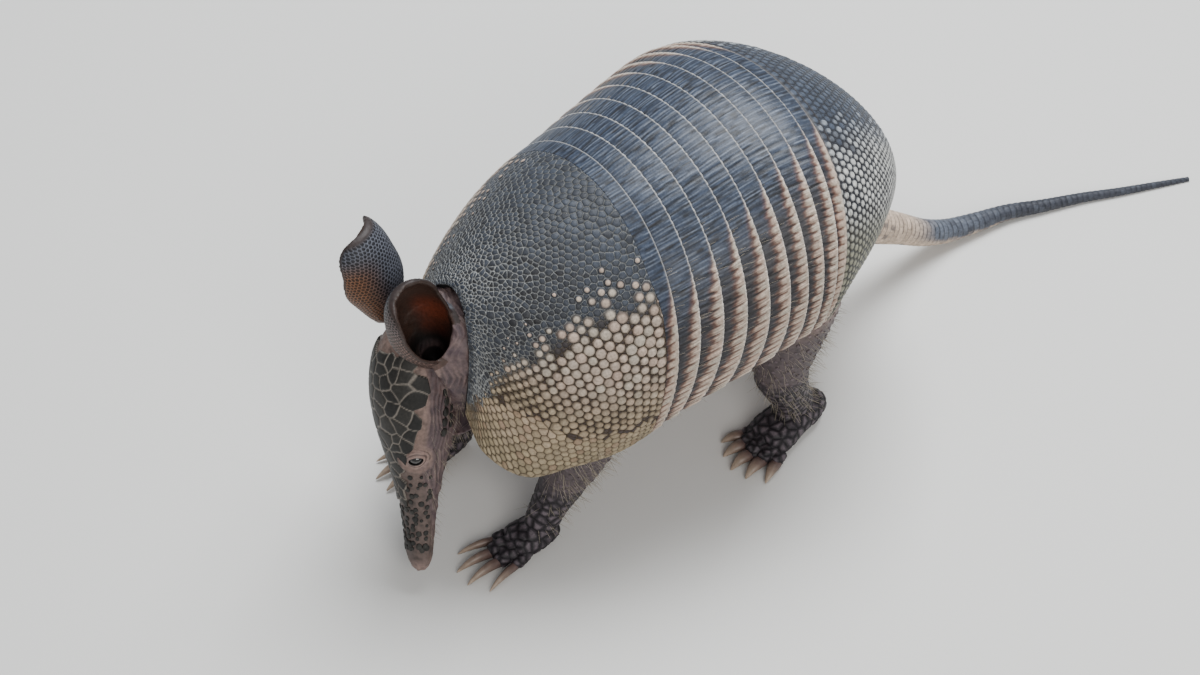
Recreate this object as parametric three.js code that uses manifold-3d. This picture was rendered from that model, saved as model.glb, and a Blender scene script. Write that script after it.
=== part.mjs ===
// A nine-banded armadillo as a still, life-size museum model, foraging with its snout to the ground.
// Millimetres, +Z up, head toward -Y, the animal's left on +X, standing on Z = 0.
import * as THREE from 'three';
import { mergeVertices } from 'three/addons/utils/BufferGeometryUtils.js';
import Module from 'manifold-3d';

const wasm = await Module();
wasm.setup();

const DEG = Math.PI / 180;
const GAP = 0.35; // clearance between neighbouring pieces
const SHIFT_Y = -64.17; // from the body's own axes to the middle of the part's footprint

// Carapace. S runs along the back from the nape to the tail; every section is an arc in a tilted plane.
const BACK_HEIGHT = 160; // back above the floor at REFERENCE_S
const REFERENCE_S = 110;
const BACK_S = [-10, 60, 120, 180, 225, 260];
const BACK_SLOPE = [34, 10.6, 4.6, -35, -60, -84]; // degrees, rising toward the tail is positive
const SECTION_S = [0, 10, 25, 55, 90, 125, 160, 195, 230, 258];
const HALF_WIDTH = [28, 32.8, 44, 57, 63.5, 69, 72, 64.5, 48, 31];
const SECTION_DROP = [61.5, 57, 61, 63, 60, 58, 54, 51, 46, 37];
const WRAP = [57, 77.5, 95.5, 109, 111, 107, 105, 106, 107, 108]; // degrees of arc on each side
const TILT = -4.9; // degrees, section plane against the back's own normal
const TILT_RISE = 0.086; // degrees per millimetre of S
const SWEEP = -17.5; // at 100 degrees of arc every row lies this far ahead of its middle
const LOBE = -63; // extra reach of the shoulder shield's lobes beside the neck
const SHIELD_END = 75.1; // rear edge of the shoulder shield
const BAND_PITCH = 9.6;
const BAND_COUNT = 8;
const TAIL_NOTCH = 258; // rear edge of the pelvic shield
const PLATE = 2.2; // thickness of the armour
const BAND_STEP = 0.9; // how far a band's front edge sits below its rear edge

// Trunk under the armour.
const BELLY_S = [0, 40, 90, 140, 190, 258];
const BELLY_BULGE = [8, 10, 20, 18, 8, 3];
const CHEST_Y = -84; // the trunk ends and the neck begins

// Head, along its own axis from the level of the ears.
const HEAD_AT = [-8.6, -118.6, 98.5];
const HEAD_ALONG = [0.316, -0.242, -0.918];
const HEAD_LEFT = [0.931, -0.109, 0.349];
const HEAD_U = [-13, -9, -3, 5, 16, 28, 40, 52, 66, 80, 90, 95];
const HEAD_HALF_WIDTH = [5, 10.5, 14, 15.6, 16.4, 15.6, 13.8, 11, 8.4, 6.8, 6.2, 4.2];
const HEAD_TOP = [5, 11, 15.4, 17.6, 18.2, 16.6, 13.6, 10.4, 7.8, 6.4, 5.6, 3.8];
const HEAD_BELOW = [5, 9.5, 12.5, 14, 15, 14.8, 13, 10, 7.6, 5.8, 4.8, 3.2];
const SHIELD_U = [-4, 66];
const SHIELD_WRAP = 62; // degrees each side of the top
const EYE_U = 40;
const EYE_RADIUS = 3.6;

// Ears.
const EAR_LENGTH = 43.5;
const EAR_U = [0, 0.2, 0.45, 0.7, 0.8, 0.88, 0.94, 0.98, 1];
const EAR_RADIUS = [5.3, 8.8, 12.3, 12.2, 11.8, 11, 10, 9, 7.6];
const EAR_CURL = [160, 150, 119, 99, 96, 91, 82, 70, 46]; // degrees each side of the back of the ear
const EAR_SKIN = 1.3;

// Feet and claws.
const HIND_CLAW = 9.5;
const FORE_CLAW = 15;
const CLAW_RADIUS = 2.1;

// Tail, along its path from under the rear edge of the shield to the tip.
const TAIL_PATH = [
  [0, 64, 82],
  [0, 88, 58],
  [0, 110, 38],
  [0, 127, 25],
  [0.5, 142, 14],
  [1.5, 156, 7.5],
  [3.5, 171, 5.2],
  [6.5, 189, 3.8],
  [12, 205, 2.85],
  [18.5, 224, 2.2],
  [25.5, 241, 1.7],
  [32, 258, 1.3],
  [38, 274, 0.8],
];
const TAIL_RADIUS = [14, 12.5, 10.6, 8.4, 6.9, 5.9, 5, 4, 3.1, 2.4, 1.9, 1.45, 0.9];
const TAIL_LENGTHS = [0, 0.35, 0.52, 0.74, 1]; // where one length ends and the next begins

const HORN = { color: 0x4a4f5c, roughness: 0.6, metalness: 0 };
const SKIN = { color: 0x8a6f66, roughness: 0.8, metalness: 0 };
const KERATIN = { color: 0x8f7a6a, roughness: 0.45, metalness: 0 };
const EYE = { color: 0x120d0b, roughness: 0.12, metalness: 0 };

const vec = (p) => new THREE.Vector3(...p);

// A smooth curve through the values at the knots, level beyond both ends.
function through(knots, values) {
  const last = knots.length - 1;
  const slope = knots.map((_, i) => {
    const a = Math.max(i - 1, 0);
    const b = Math.min(i + 1, last);
    return (values[b] - values[a]) / (knots[b] - knots[a]);
  });
  return (at) => {
    const t = Math.min(Math.max(at, knots[0]), knots[last]);
    const i = Math.min(Math.max(knots.findIndex((k) => k > t), 1) - 1, last - 1);
    const j = t >= knots[last] ? last - 1 : i;
    const w = knots[j + 1] - knots[j];
    const u = (t - knots[j]) / w;
    const rise = u * u * (3 - 2 * u);
    return values[j] * (1 - rise) + values[j + 1] * rise
      + w * u * (1 - u) * ((1 - u) * slope[j] - u * slope[j + 1]);
  };
}

const backSlope = through(BACK_S, BACK_SLOPE);
const halfWidth = through(SECTION_S, HALF_WIDTH);
const sectionDrop = through(SECTION_S, SECTION_DROP);
const wrap = through(SECTION_S, WRAP);
const bellyBulge = through(BELLY_S, BELLY_BULGE);

// The line of the back, one point for each millimetre of S from BACK_FROM on.
const BACK_FROM = -80;
const BACK_TO = 300;
function backLine() {
  const line = [[0, 0]];
  for (let s = BACK_FROM; s < BACK_TO; s += 1) {
    const a = backSlope(s + 0.5) * DEG;
    const [y, z] = line[line.length - 1];
    line.push([y + Math.cos(a), z + Math.sin(a)]);
  }
  const [y0, z0] = line[REFERENCE_S - BACK_FROM];
  return line.map(([y, z]) => [y - y0, z - z0 + BACK_HEIGHT]);
}
const BACK = backLine();

function backPoint(s) {
  const f = Math.min(Math.max(s - BACK_FROM, 0), BACK.length - 2);
  const i = Math.floor(f);
  const w = f - i;
  return [BACK[i][0] * (1 - w) + BACK[i + 1][0] * w, BACK[i][1] * (1 - w) + BACK[i + 1][1] * w];
}

// The outer face of the carapace at S, t running from -1 (right margin) to 1 (left margin).
function facePoint(S, t) {
  const front = Math.min(Math.max((SHIELD_END - S) / SHIELD_END, 0), 1.3);
  const arc = wrap(S) * t;
  const s = S + (SWEEP + LOBE * front ** 1.6) * (arc / 100) ** 2;
  const tilt = (backSlope(s) + TILT + TILT_RISE * (S - REFERENCE_S)) * DEG;
  const a = arc * DEG;
  const drop = sectionDrop(S) * (1 - Math.cos(a));
  const [y, z] = backPoint(s);
  return new THREE.Vector3(
    halfWidth(S) * Math.sin(a), y + drop * Math.sin(tilt), z - drop * Math.cos(tilt));
}

function faceNormal(S, t) {
  const across = facePoint(S, t + 0.01).sub(facePoint(S, t - 0.01));
  const along = facePoint(S + 0.5, t).sub(facePoint(S - 0.5, t));
  return across.cross(along).normalize();
}

function shellPoint(S, t, depth) {
  return facePoint(S, t).addScaledVector(faceNormal(S, t), -depth);
}

function geometry(points, faces) {
  const g = new THREE.BufferGeometry();
  g.setAttribute('position', new THREE.Float32BufferAttribute(points.flatMap((p) => p.toArray()), 3));
  g.setIndex(faces.flat());
  return g;
}

// A closed body through rings of equal count, each end closed by a fan.
function loft(rings) {
  const n = rings[0].length;
  const points = rings.flat();
  const faces = [];
  for (let i = 0; i < rings.length - 1; i += 1) {
    for (let j = 0; j < n; j += 1) {
      const k = (j + 1) % n;
      faces.push([i * n + j, i * n + k, (i + 1) * n + k]);
      faces.push([i * n + j, (i + 1) * n + k, (i + 1) * n + j]);
    }
  }
  for (const end of [0, rings.length - 1]) {
    const middle = rings[end].reduce((sum, p) => sum.add(p), new THREE.Vector3()).divideScalar(n);
    points.push(middle);
    for (let j = 0; j < n; j += 1) {
      const a = end * n + j;
      const b = end * n + (j + 1) % n;
      faces.push(end ? [a, b, points.length - 1] : [b, a, points.length - 1]);
    }
  }
  return geometry(points, faces);
}

// A closed plate between two faces, each a function of (u, v) in the unit square.
function plate(outer, inner, nu, nv) {
  const row = nv + 1;
  const points = [];
  for (const face of [outer, inner]) {
    for (let i = 0; i <= nu; i += 1) {
      for (let j = 0; j <= nv; j += 1) points.push(face(i / nu, j / nv));
    }
  }
  const back = (nu + 1) * row;
  const faces = [];
  const quad = (a, b, c, d) => faces.push([a, b, c], [a, c, d]);
  for (let i = 0; i < nu; i += 1) {
    for (let j = 0; j < nv; j += 1) {
      const a = i * row + j;
      quad(a, a + 1, a + row + 1, a + row);
      quad(back + a, back + a + row, back + a + row + 1, back + a + 1);
    }
    const left = i * row;
    const right = left + nv;
    quad(left, left + row, back + left + row, back + left);
    quad(right, back + right, back + right + row, right + row);
  }
  for (let j = 0; j < nv; j += 1) {
    const far = nu * row + j;
    quad(j, back + j, back + j + 1, j + 1);
    quad(far, far + 1, back + far + 1, back + far);
  }
  return geometry(points, faces);
}

function toSolid(g) {
  const clean = g.clone();
  clean.deleteAttribute('normal');
  clean.deleteAttribute('uv');
  const merged = mergeVertices(clean, 1e-4);
  const solid = new wasm.Manifold(new wasm.Mesh({
    numProp: 3,
    vertProperties: new Float32Array(merged.attributes.position.array),
    triVerts: new Uint32Array(merged.index.array),
  }));
  return solid;
}

function toGeometry(solid) {
  const mesh = solid.getMesh();
  const g = new THREE.BufferGeometry();
  g.setAttribute('position', new THREE.Float32BufferAttribute(mesh.vertProperties, 3));
  g.setIndex(Array.from(mesh.triVerts));
  return g;
}

// What is left of a body after others are cut away, without any loose crumbs.
function carve(body, cutters) {
  let solid = toSolid(body);
  for (const cutter of cutters) solid = solid.subtract(toSolid(cutter));
  const pieces = solid.decompose();
  pieces.sort((a, b) => b.volume() - a.volume());
  return toGeometry(pieces[0].simplify(0.08));
}

function join(bodies) {
  return toGeometry(bodies.map(toSolid).reduce((a, b) => a.add(b)).simplify(0.08));
}

// An elliptical ring square to the direction ahead; nothing of it goes below the floor given.
function ring(centre, ahead, across, [a, b], sides, floor) {
  const up = new THREE.Vector3().crossVectors(across, ahead).normalize();
  const side = new THREE.Vector3().crossVectors(ahead, up);
  return Array.from({ length: sides }, (_, k) => {
    const angle = (-2 * Math.PI * (k + 0.5)) / sides;
    const p = centre.clone().addScaledVector(side, a * Math.cos(angle))
      .addScaledVector(up, b * Math.sin(angle));
    p.z = Math.max(p.z, floor);
    return p;
  });
}

// A body along a path: each station is [x, y, z, radius across, radius upright].
function sweep(stations, sides, across, grow = 0, floor = -1e9) {
  return loft(stations.map(([x, y, z, a, b], i) => {
    const before = stations[Math.max(i - 1, 0)];
    const after = stations[Math.min(i + 1, stations.length - 1)];
    const ahead = vec(after.slice(0, 3)).sub(vec(before.slice(0, 3))).normalize();
    return ring(new THREE.Vector3(x, y, z), ahead, vec(across), [a + grow, b + grow], sides, floor);
  }));
}

// Armour.
function shieldPlate(from, to, nu, nv, front = 0, grow = 0) {
  const at = (u) => from - grow + (to - from + 2 * grow) * u;
  const t = (v) => (2 * v - 1) * (1 + grow / 70);
  const sink = (u) => front * (1 - u);
  return plate(
    (u, v) => shellPoint(at(u), t(v), sink(u) - grow),
    (u, v) => shellPoint(at(u), t(v), PLATE + sink(u) + grow), nu, nv);
}

const bandEdge = (k) => SHIELD_END + BAND_PITCH * k;
const shoulderShield = (grow) => shieldPlate(0, SHIELD_END - GAP / 2, 6, 20, 0, grow);
const band = (k) => shieldPlate(bandEdge(k - 1) + GAP / 2, bandEdge(k) - GAP / 2, 1, 20, BAND_STEP);
const pelvicShield = (grow) => shieldPlate(bandEdge(BAND_COUNT) + GAP / 2, TAIL_NOTCH, 7, 20, 0, grow);
const bandsAsOne = () => shieldPlate(SHIELD_END - 1, bandEdge(BAND_COUNT) + 1, 4, 20, 0, 1.2);

// Trunk: the inside of the carapace closed by the belly.
function trunkRing(S, grow) {
  const reach = 0.95;
  const depth = PLATE + BAND_STEP + 0.5 - grow;
  const arc = Array.from({ length: 17 }, (_, i) => shellPoint(S, reach * (i / 8 - 1), depth));
  const right = arc[0];
  const left = arc[16];
  const tilt = (backSlope(S) + TILT + TILT_RISE * (S - REFERENCE_S)) * DEG;
  const down = new THREE.Vector3(0, Math.sin(tilt), -Math.cos(tilt));
  const belly = Array.from({ length: 6 }, (_, i) => {
    const a = (Math.PI * (i + 1)) / 7;
    const p = left.clone().add(right).multiplyScalar(0.5);
    p.addScaledVector(left.clone().sub(right), Math.cos(a) / 2);
    return p.addScaledVector(down, (bellyBulge(S) + grow) * Math.sin(a));
  });
  return [...arc, ...belly];
}

function trunkBody(grow) {
  const steps = 11;
  const from = 22 - grow;
  const to = TAIL_NOTCH - 6 + grow;
  const at = (i) => from + ((to - from) * i) / steps;
  return loft(Array.from({ length: steps + 1 }, (_, i) => trunkRing(at(i), grow)));
}

// Head.
const headAlong = vec(HEAD_ALONG).normalize();
const headLeft = vec(HEAD_LEFT).addScaledVector(headAlong, -vec(HEAD_LEFT).dot(headAlong)).normalize();
const headUp = new THREE.Vector3().crossVectors(headAlong, headLeft);
const headWidth = through(HEAD_U, HEAD_HALF_WIDTH);
const headTop = through(HEAD_U, HEAD_TOP);
const headBelow = through(HEAD_U, HEAD_BELOW);

function inHead(along, left, up) {
  return vec(HEAD_AT).addScaledVector(headAlong, along).addScaledVector(headLeft, left)
    .addScaledVector(headUp, up);
}

// A point of the head's surface: the angle runs from the top, positive toward the left.
function headPoint(along, angle, grow) {
  const c = Math.cos(angle);
  const height = c > 0 ? headTop(along) : headBelow(along);
  return inHead(along, (headWidth(along) + grow) * Math.sin(angle), (height + grow) * c);
}

function headBody(grow) {
  const rings = HEAD_U.map((u, i) => {
    const at = u + (i === 0 ? -grow : 0) + (i === HEAD_U.length - 1 ? grow : 0);
    return Array.from({ length: 16 }, (_, k) => headPoint(at, (-2 * Math.PI * (k + 0.5)) / 16, grow));
  });
  return loft(rings);
}

function headShield(grow = 0) {
  const at = (u) => SHIELD_U[0] + (SHIELD_U[1] - SHIELD_U[0]) * u;
  const angle = (u, v) => (1 - 2 * v) * SHIELD_WRAP * DEG * (1 - 0.5 * u);
  return plate(
    (u, v) => headPoint(at(u), angle(u, v), 1.5 + grow),
    (u, v) => headPoint(at(u), angle(u, v), 0.45 - grow), 7, 8);
}

// A block that fills the space ahead of (or behind) the plane where the neck leaves the trunk.
function slab(side) {
  const block = new THREE.BoxGeometry(400, 200, 400);
  return block.translate(0, CHEST_Y + side * (100 - GAP / 2), 0);
}

const eyeCentre = (side) => inHead(EYE_U, side * 11.2, 5.6);

function ball(centre, radius, across, down) {
  const g = new THREE.SphereGeometry(radius, across, down);
  g.translate(centre.x, centre.y, centre.z);
  return g;
}

// Ears: a scoop that is nearly a tube at its foot and opens toward the tip.
const earRadius = through(EAR_U, EAR_RADIUS);
const earCurl = through(EAR_U, EAR_CURL);

function ear(foot, along, open) {
  const axis = vec(along).normalize();
  const front = vec(open).addScaledVector(axis, -vec(open).dot(axis)).normalize();
  const side = new THREE.Vector3().crossVectors(axis, front);
  const point = (u, v, grow) => {
    const a = (2 * v - 1) * earCurl(u) * DEG;
    const r = earRadius(u) + grow;
    return foot.clone().addScaledVector(axis, EAR_LENGTH * u + grow * u)
      .addScaledVector(side, r * Math.sin(a))
      .addScaledVector(front, 3 - r * Math.cos(a) - 3 * u * (1 - u));
  };
  const row = (u) => 1 - (1 - u) ** 1.5; // rows crowd toward the round tip
  return plate(
    (u, v) => point(row(u), 1 - v, EAR_SKIN / 2),
    (u, v) => point(row(u), 1 - v, -EAR_SKIN / 2), 6, 9);
}

const EARS = {
  left: { foot: inHead(-2.4, 8.2, -0.6), along: [0.15, -0.22, 0.96], open: [0.82, 0.23, 0.52] },
  right: { foot: inHead(-11.1, -13.1, 3.2), along: [-0.26, -0.19, 0.95], open: [-0.82, -0.54, -0.21] },
};

// Neck.
const NECK = [
  [0, -80, 90, 42, 36],
  [-1, -91, 91, 33, 36],
  [-3, -102, 92, 26.5, 36],
  [-4.5, -107, 92, 23.5, 33.5],
  [-6, -112, 90, 19.5, 28],
  [-7, -117, 89, 14, 22],
];
const neckBody = (grow) => sweep(NECK, 14, [1, 0, 0], grow);

// Legs. side is 1 on the left and -1 on the right.
const mirrored = (stations, side) => stations.map(([x, ...rest]) => [side * x, ...rest]);

const HIND_LEG = [
  [34, 36, 96, 21, 23],
  [39, 31, 76, 20, 21],
  [43.5, 25, 58, 15, 16.5],
  [46, 22, 43, 10.8, 12.2],
  [46.2, 26, 29, 8.2, 9.4],
  [45.6, 31, 17, 7, 8.4],
];
const HIND_FOOT = [
  [44.4, 46, 6.5, 5, 5],
  [44.7, 41, 7.5, 7.5, 8],
  [45.2, 33, 7.8, 8.8, 8.8],
  [46.4, 25, 7.4, 9.8, 8],
  [47.8, 17.5, 6.4, 10.6, 6.8],
  [48.7, 12, 5.2, 9.8, 5.6],
];
const FORE_LEG = [
  [33, -66, 88, 20, 20],
  [36, -70, 70, 17, 17],
  [37, -74, 52, 13, 13],
  [35, -80, 36, 9.5, 10],
  [33, -86, 22, 7.5, 8],
  [32, -90, 12, 6.8, 7],
];
const FORE_FOOT = [
  [31.5, -84, 6, 5.5, 5.5],
  [31.5, -89, 6.6, 7.4, 7],
  [31, -97, 6, 8.6, 6.4],
  [30.5, -104, 5.2, 8.8, 5.6],
];
// Toes: [x, y at the root, x, y at the end, radius].
const HIND_TOES = [
  [41.2, 15.5, 38.8, 9.5, 3.1],
  [44.6, 14, 43.4, 6, 3.7],
  [48.8, 13.5, 49.2, 4.2, 3.9],
  [53, 14, 54.8, 6, 3.6],
  [56.6, 16, 59.4, 10.5, 3],
];
const FORE_TOES = [
  [24.5, -101, 22.6, -108, 2.9],
  [28.6, -103, 27.6, -113, 3.7],
  [33, -103, 33.4, -113, 3.6],
  [37, -101, 38.6, -108, 2.8],
];

function toe([x0, y0, x1, y1, r], side) {
  const stations = [
    [side * x0, y0, r + 1.2, r, r],
    [side * (x0 + x1) / 2, (y0 + y1) / 2, r + 0.8, r, r],
    [side * x1, y1, r, r * 0.86, r * 0.86],
  ];
  return sweep(stations, 6, [side, 0, 0], 0, 0);
}

function foot(stations, toes, side) {
  const body = sweep(mirrored(stations, side), 12, [side, 0, 0], 0, 0);
  return join([body, ...toes.map((t) => toe(t, side))]);
}

function claw([x0, y0, x1, y1, r], side, length) {
  const ahead = new THREE.Vector3(side * (x1 - x0), y1 - y0, 0).normalize();
  const base = new THREE.Vector3(side * x1, y1, r).addScaledVector(ahead, 2 * GAP);
  const size = Math.min(CLAW_RADIUS, r * 0.62);
  const stations = [0, 0.3, 0.65, 1].map((u) => {
    const p = base.clone().addScaledVector(ahead, length * u);
    const fine = size * (1 - 0.82 * u * u);
    const z = Math.max(base.z + 0.8 * u * (1 - u) * 4 - (base.z - 0.9) * u * u, fine + 0.3);
    return [p.x, p.y, z, fine, fine * 1.1];
  });
  return sweep(stations, 5, [side, 0, 0]);
}

// Tail.
const tailCurve = new THREE.CatmullRomCurve3(TAIL_PATH.map(vec), false, 'centripetal');
const tailRadius = through(TAIL_PATH.map((_, i) => i / (TAIL_PATH.length - 1)), TAIL_RADIUS);

function tailLength(from, to, steps) {
  const trim = GAP / 2 / tailCurve.getLength();
  return loft(Array.from({ length: steps + 1 }, (_, i) => {
    const t = from + trim + ((to - from - 2 * trim) * i) / steps;
    const r = tailRadius(t);
    const across = new THREE.Vector3(1, 0, 0);
    return ring(tailCurve.getPointAt(t), tailCurve.getTangentAt(t), across, [r, r], 10, 0);
  }));
}

const model = new THREE.Group();
model.name = 'armadillo';

function add(name, g, look) {
  const mesh = new THREE.Mesh(g, new THREE.MeshStandardMaterial(look));
  g.translate(0, SHIFT_Y, 0);
  mesh.name = name;
  model.add(mesh);
}

const armour = () => [shoulderShield(GAP), bandsAsOne(), pelvicShield(GAP)];

add('shoulder_shield', shoulderShield(0), HORN);
for (let k = 1; k <= BAND_COUNT; k += 1) add(`band_${k}`, band(k), HORN);
add('pelvic_shield', pelvicShield(0), HORN);

const sockets = (grow) => [1, -1].map((side) => ball(eyeCentre(side), EYE_RADIUS + grow, 8, 6));

add('head', carve(headBody(0), [...sockets(GAP), shoulderShield(GAP)]), SKIN);
add('head_shield', headShield(), HORN);
for (const [name, side] of [['left', 1], ['right', -1]]) {
  const { foot: root, along, open } = EARS[name];
  add(`eye_${name}`, ball(eyeCentre(side), EYE_RADIUS, 10, 8), EYE);
  add(`ear_${name}`, carve(ear(root, along, open), [headBody(GAP), neckBody(GAP), headShield(GAP)]), SKIN);
}
add('trunk', carve(trunkBody(0), [slab(-1)]), SKIN);
add('neck', carve(neckBody(0), [slab(1), headBody(GAP), ...armour()]), SKIN);

for (const [name, side] of [['left', 1], ['right', -1]]) {
  const limb = (stations) => sweep(mirrored(stations, side), 12, [side, 0, 0]);
  const around = (stations) => sweep(mirrored(stations, side), 12, [side, 0, 0], GAP);
  const above = [trunkBody(GAP), ...armour()];
  add(`hind_leg_${name}`, carve(limb(HIND_LEG), [...above, around(HIND_FOOT)]), SKIN);
  add(`fore_leg_${name}`, carve(limb(FORE_LEG), [...above, around(FORE_FOOT)]), SKIN);
  add(`hind_foot_${name}`, foot(HIND_FOOT, HIND_TOES, side), SKIN);
  add(`fore_foot_${name}`, foot(FORE_FOOT, FORE_TOES, side), SKIN);
  HIND_TOES.forEach((t, i) => add(`hind_claw_${name}_${i + 1}`, claw(t, side, HIND_CLAW), KERATIN));
  FORE_TOES.forEach((t, i) => add(`fore_claw_${name}_${i + 1}`, claw(t, side, FORE_CLAW), KERATIN));
}

for (let k = 1; k < TAIL_LENGTHS.length; k += 1) {
  const length = tailLength(TAIL_LENGTHS[k - 1], TAIL_LENGTHS[k], 5);
  add(`tail_${k}`, k === 1 ? carve(length, [trunkBody(GAP), ...armour()]) : length, SKIN);
}

export default model;
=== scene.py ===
import bpy
import numpy as np
from mathutils import Matrix, Vector
from mathutils.bvhtree import BVHTree
from mathutils.kdtree import KDTree


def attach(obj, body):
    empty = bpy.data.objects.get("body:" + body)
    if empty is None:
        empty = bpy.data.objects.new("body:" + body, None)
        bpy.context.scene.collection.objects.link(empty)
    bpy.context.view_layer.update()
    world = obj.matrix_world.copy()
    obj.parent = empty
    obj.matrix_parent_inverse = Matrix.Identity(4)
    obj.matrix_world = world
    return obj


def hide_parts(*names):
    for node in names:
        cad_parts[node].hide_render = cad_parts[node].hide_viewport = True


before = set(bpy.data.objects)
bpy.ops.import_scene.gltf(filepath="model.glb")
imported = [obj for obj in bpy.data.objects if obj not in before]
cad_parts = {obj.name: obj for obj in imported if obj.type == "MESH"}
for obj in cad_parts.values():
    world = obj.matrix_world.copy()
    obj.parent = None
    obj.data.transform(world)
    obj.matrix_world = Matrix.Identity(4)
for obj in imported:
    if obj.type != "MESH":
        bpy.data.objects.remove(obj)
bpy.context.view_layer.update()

MM = 0.001
SHIFT_Y = -64.17  # from the body's own axes to the part's

# Carapace: the same surface as the part's. S runs along the back, t from the right margin to the left.
BACK_HEIGHT = 160
REFERENCE_S = 110
BACK_S = [-10, 60, 120, 180, 225, 260]
BACK_SLOPE = [34, 10.6, 4.6, -35, -60, -84]
SECTION_S = [0, 10, 25, 55, 90, 125, 160, 195, 230, 258]
HALF_WIDTH = [28, 32.8, 44, 57, 63.5, 69, 72, 64.5, 48, 31]
SECTION_DROP = [61.5, 57, 61, 63, 60, 58, 54, 51, 46, 37]
WRAP = [57, 77.5, 95.5, 109, 111, 107, 105, 106, 107, 108]
TILT = -4.9
TILT_RISE = 0.086
SWEEP = -17.5
LOBE = -63
SHIELD_END = 75.1
BAND_PITCH = 9.6
BAND_COUNT = 8
TAIL_NOTCH = 258
PLATE = 2.2
BAND_STEP = 0.9
TUCK = 1.5  # how far a plate reaches in under the one ahead of it
BACK_FROM = -80
BACK_TO = 300


def through(knots, values):
    """A smooth curve through the values at the knots, level beyond both ends."""
    k = np.asarray(knots, float)
    v = np.asarray(values, float)
    low = np.maximum(np.arange(len(k)) - 1, 0)
    high = np.minimum(np.arange(len(k)) + 1, len(k) - 1)
    slope = (v[high] - v[low]) / (k[high] - k[low])

    def at(x):
        x = np.clip(x, k[0], k[-1])
        j = np.clip(np.searchsorted(k, x, "right") - 1, 0, len(k) - 2)
        w = k[j + 1] - k[j]
        u = (x - k[j]) / w
        rise = u * u * (3 - 2 * u)
        bend = w * u * (1 - u) * ((1 - u) * slope[j] - u * slope[j + 1])
        return v[j] * (1 - rise) + v[j + 1] * rise + bend

    return at


back_slope = through(BACK_S, BACK_SLOPE)
half_width = through(SECTION_S, HALF_WIDTH)
section_drop = through(SECTION_S, SECTION_DROP)
wrap = through(SECTION_S, WRAP)


def back_line():
    """The line of the back as (y, z), one point for each millimetre of S from BACK_FROM on."""
    a = np.deg2rad(back_slope(np.arange(BACK_FROM, BACK_TO) + 0.5))
    steps = np.stack([np.cos(a), np.sin(a)], 1)
    line = np.concatenate([[[0, 0]], np.cumsum(steps, 0)])
    return line - line[REFERENCE_S - BACK_FROM] + [0, BACK_HEIGHT]


BACK = back_line()


def back_point(s):
    """Places (y, z) on the line of the back."""
    at = np.clip(s - BACK_FROM, 0, len(BACK) - 2)
    i = np.floor(at).astype(int)
    w = (at - i)[..., None]
    return BACK[i] * (1 - w) + BACK[i + 1] * w


def section_tilt(s, S):
    """How far the section at S leans from upright, where it meets the back's line at s."""
    return np.deg2rad(back_slope(s) + TILT + TILT_RISE * (S - REFERENCE_S))


def face_point(S, t):
    """The outer face of the carapace, t running from -1 to 1."""
    S, t = np.broadcast_arrays(np.asarray(S, float), t)
    front = np.clip((SHIELD_END - S) / SHIELD_END, 0, 1.3)
    arc = wrap(S) * t
    s = S + (SWEEP + LOBE * front**1.6) * (arc / 100) ** 2
    tilt = section_tilt(s, S)
    drop = section_drop(S) * (1 - np.cos(np.deg2rad(arc)))
    y, z = np.moveaxis(back_point(s), -1, 0)
    x = half_width(S) * np.sin(np.deg2rad(arc))
    return np.stack([x, y + drop * np.sin(tilt) + SHIFT_Y, z - drop * np.cos(tilt)], -1)


def unit(v):
    """Vectors of length 1 the same way."""
    return v / np.maximum(np.linalg.norm(v, axis=-1, keepdims=True), 1e-9)


def face_normal(S, t):
    """The outward normal of the carapace."""
    across = face_point(S, t + 0.01) - face_point(S, t - 0.01)
    along = face_point(S + 0.5, t) - face_point(S - 0.5, t)
    return unit(np.cross(across, along))


def ramp(x, low, high):
    """0 below low, 1 above high, smooth between; high may lie below low."""
    u = np.clip((x - low) / (high - low), 0, 1)
    return u * u * (3 - 2 * u)


def hump(x, width):
    """1 where x is 0, falling away on both sides of it."""
    return np.exp(-((x / width) ** 2))


TABLE = np.random.default_rng(7).random((64, 64, 64))


def noise(p, size, seed=0):
    """Smooth noise from -1 to 1 that varies over size millimetres; p is (..., 3). Each use has a seed of its
    own, so that no two patterns fall together."""
    q = np.asarray(p, float) / size + 17.3 * (seed + 1)
    i = np.floor(q).astype(int)
    f = q - i
    f = f * f * (3 - 2 * f)
    total = 0
    for corner in range(8):
        step = [(corner >> k) & 1 for k in range(3)]
        w = np.prod([f[..., k] if step[k] else 1 - f[..., k] for k in range(3)], 0)
        total = total + w * TABLE[tuple((i[..., k] + step[k]) % 64 for k in range(3))]
    return 2 * total - 1


def flat3(x, y):
    """Two surface coordinates as a place for noise."""
    return np.stack([x, y, np.zeros_like(x)], -1)


# Scutes: a hexagonal lattice of large ones with small ones between, as a power diagram.
ROW = 0.87  # row spacing over column spacing
SITES = ((0, 0, 1), (1 / 3, 0.5, 0), (-1 / 3, 0.5, 0))
SITE_RANDOM = np.random.default_rng(11).random((128, 128, 6, 4))
SMALL_REACH = 0.05
LAST_ROW = 120  # the number of the rearmost row, where rows are counted from the rear
CELL_REACH = 1.6  # scutes farther apart than this, in columns, never meet


def site_random(i, j, k):
    """Four random numbers for site k of the lattice's row i and column j."""
    return SITE_RANDOM[i % 128, j % 128, k]


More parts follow.
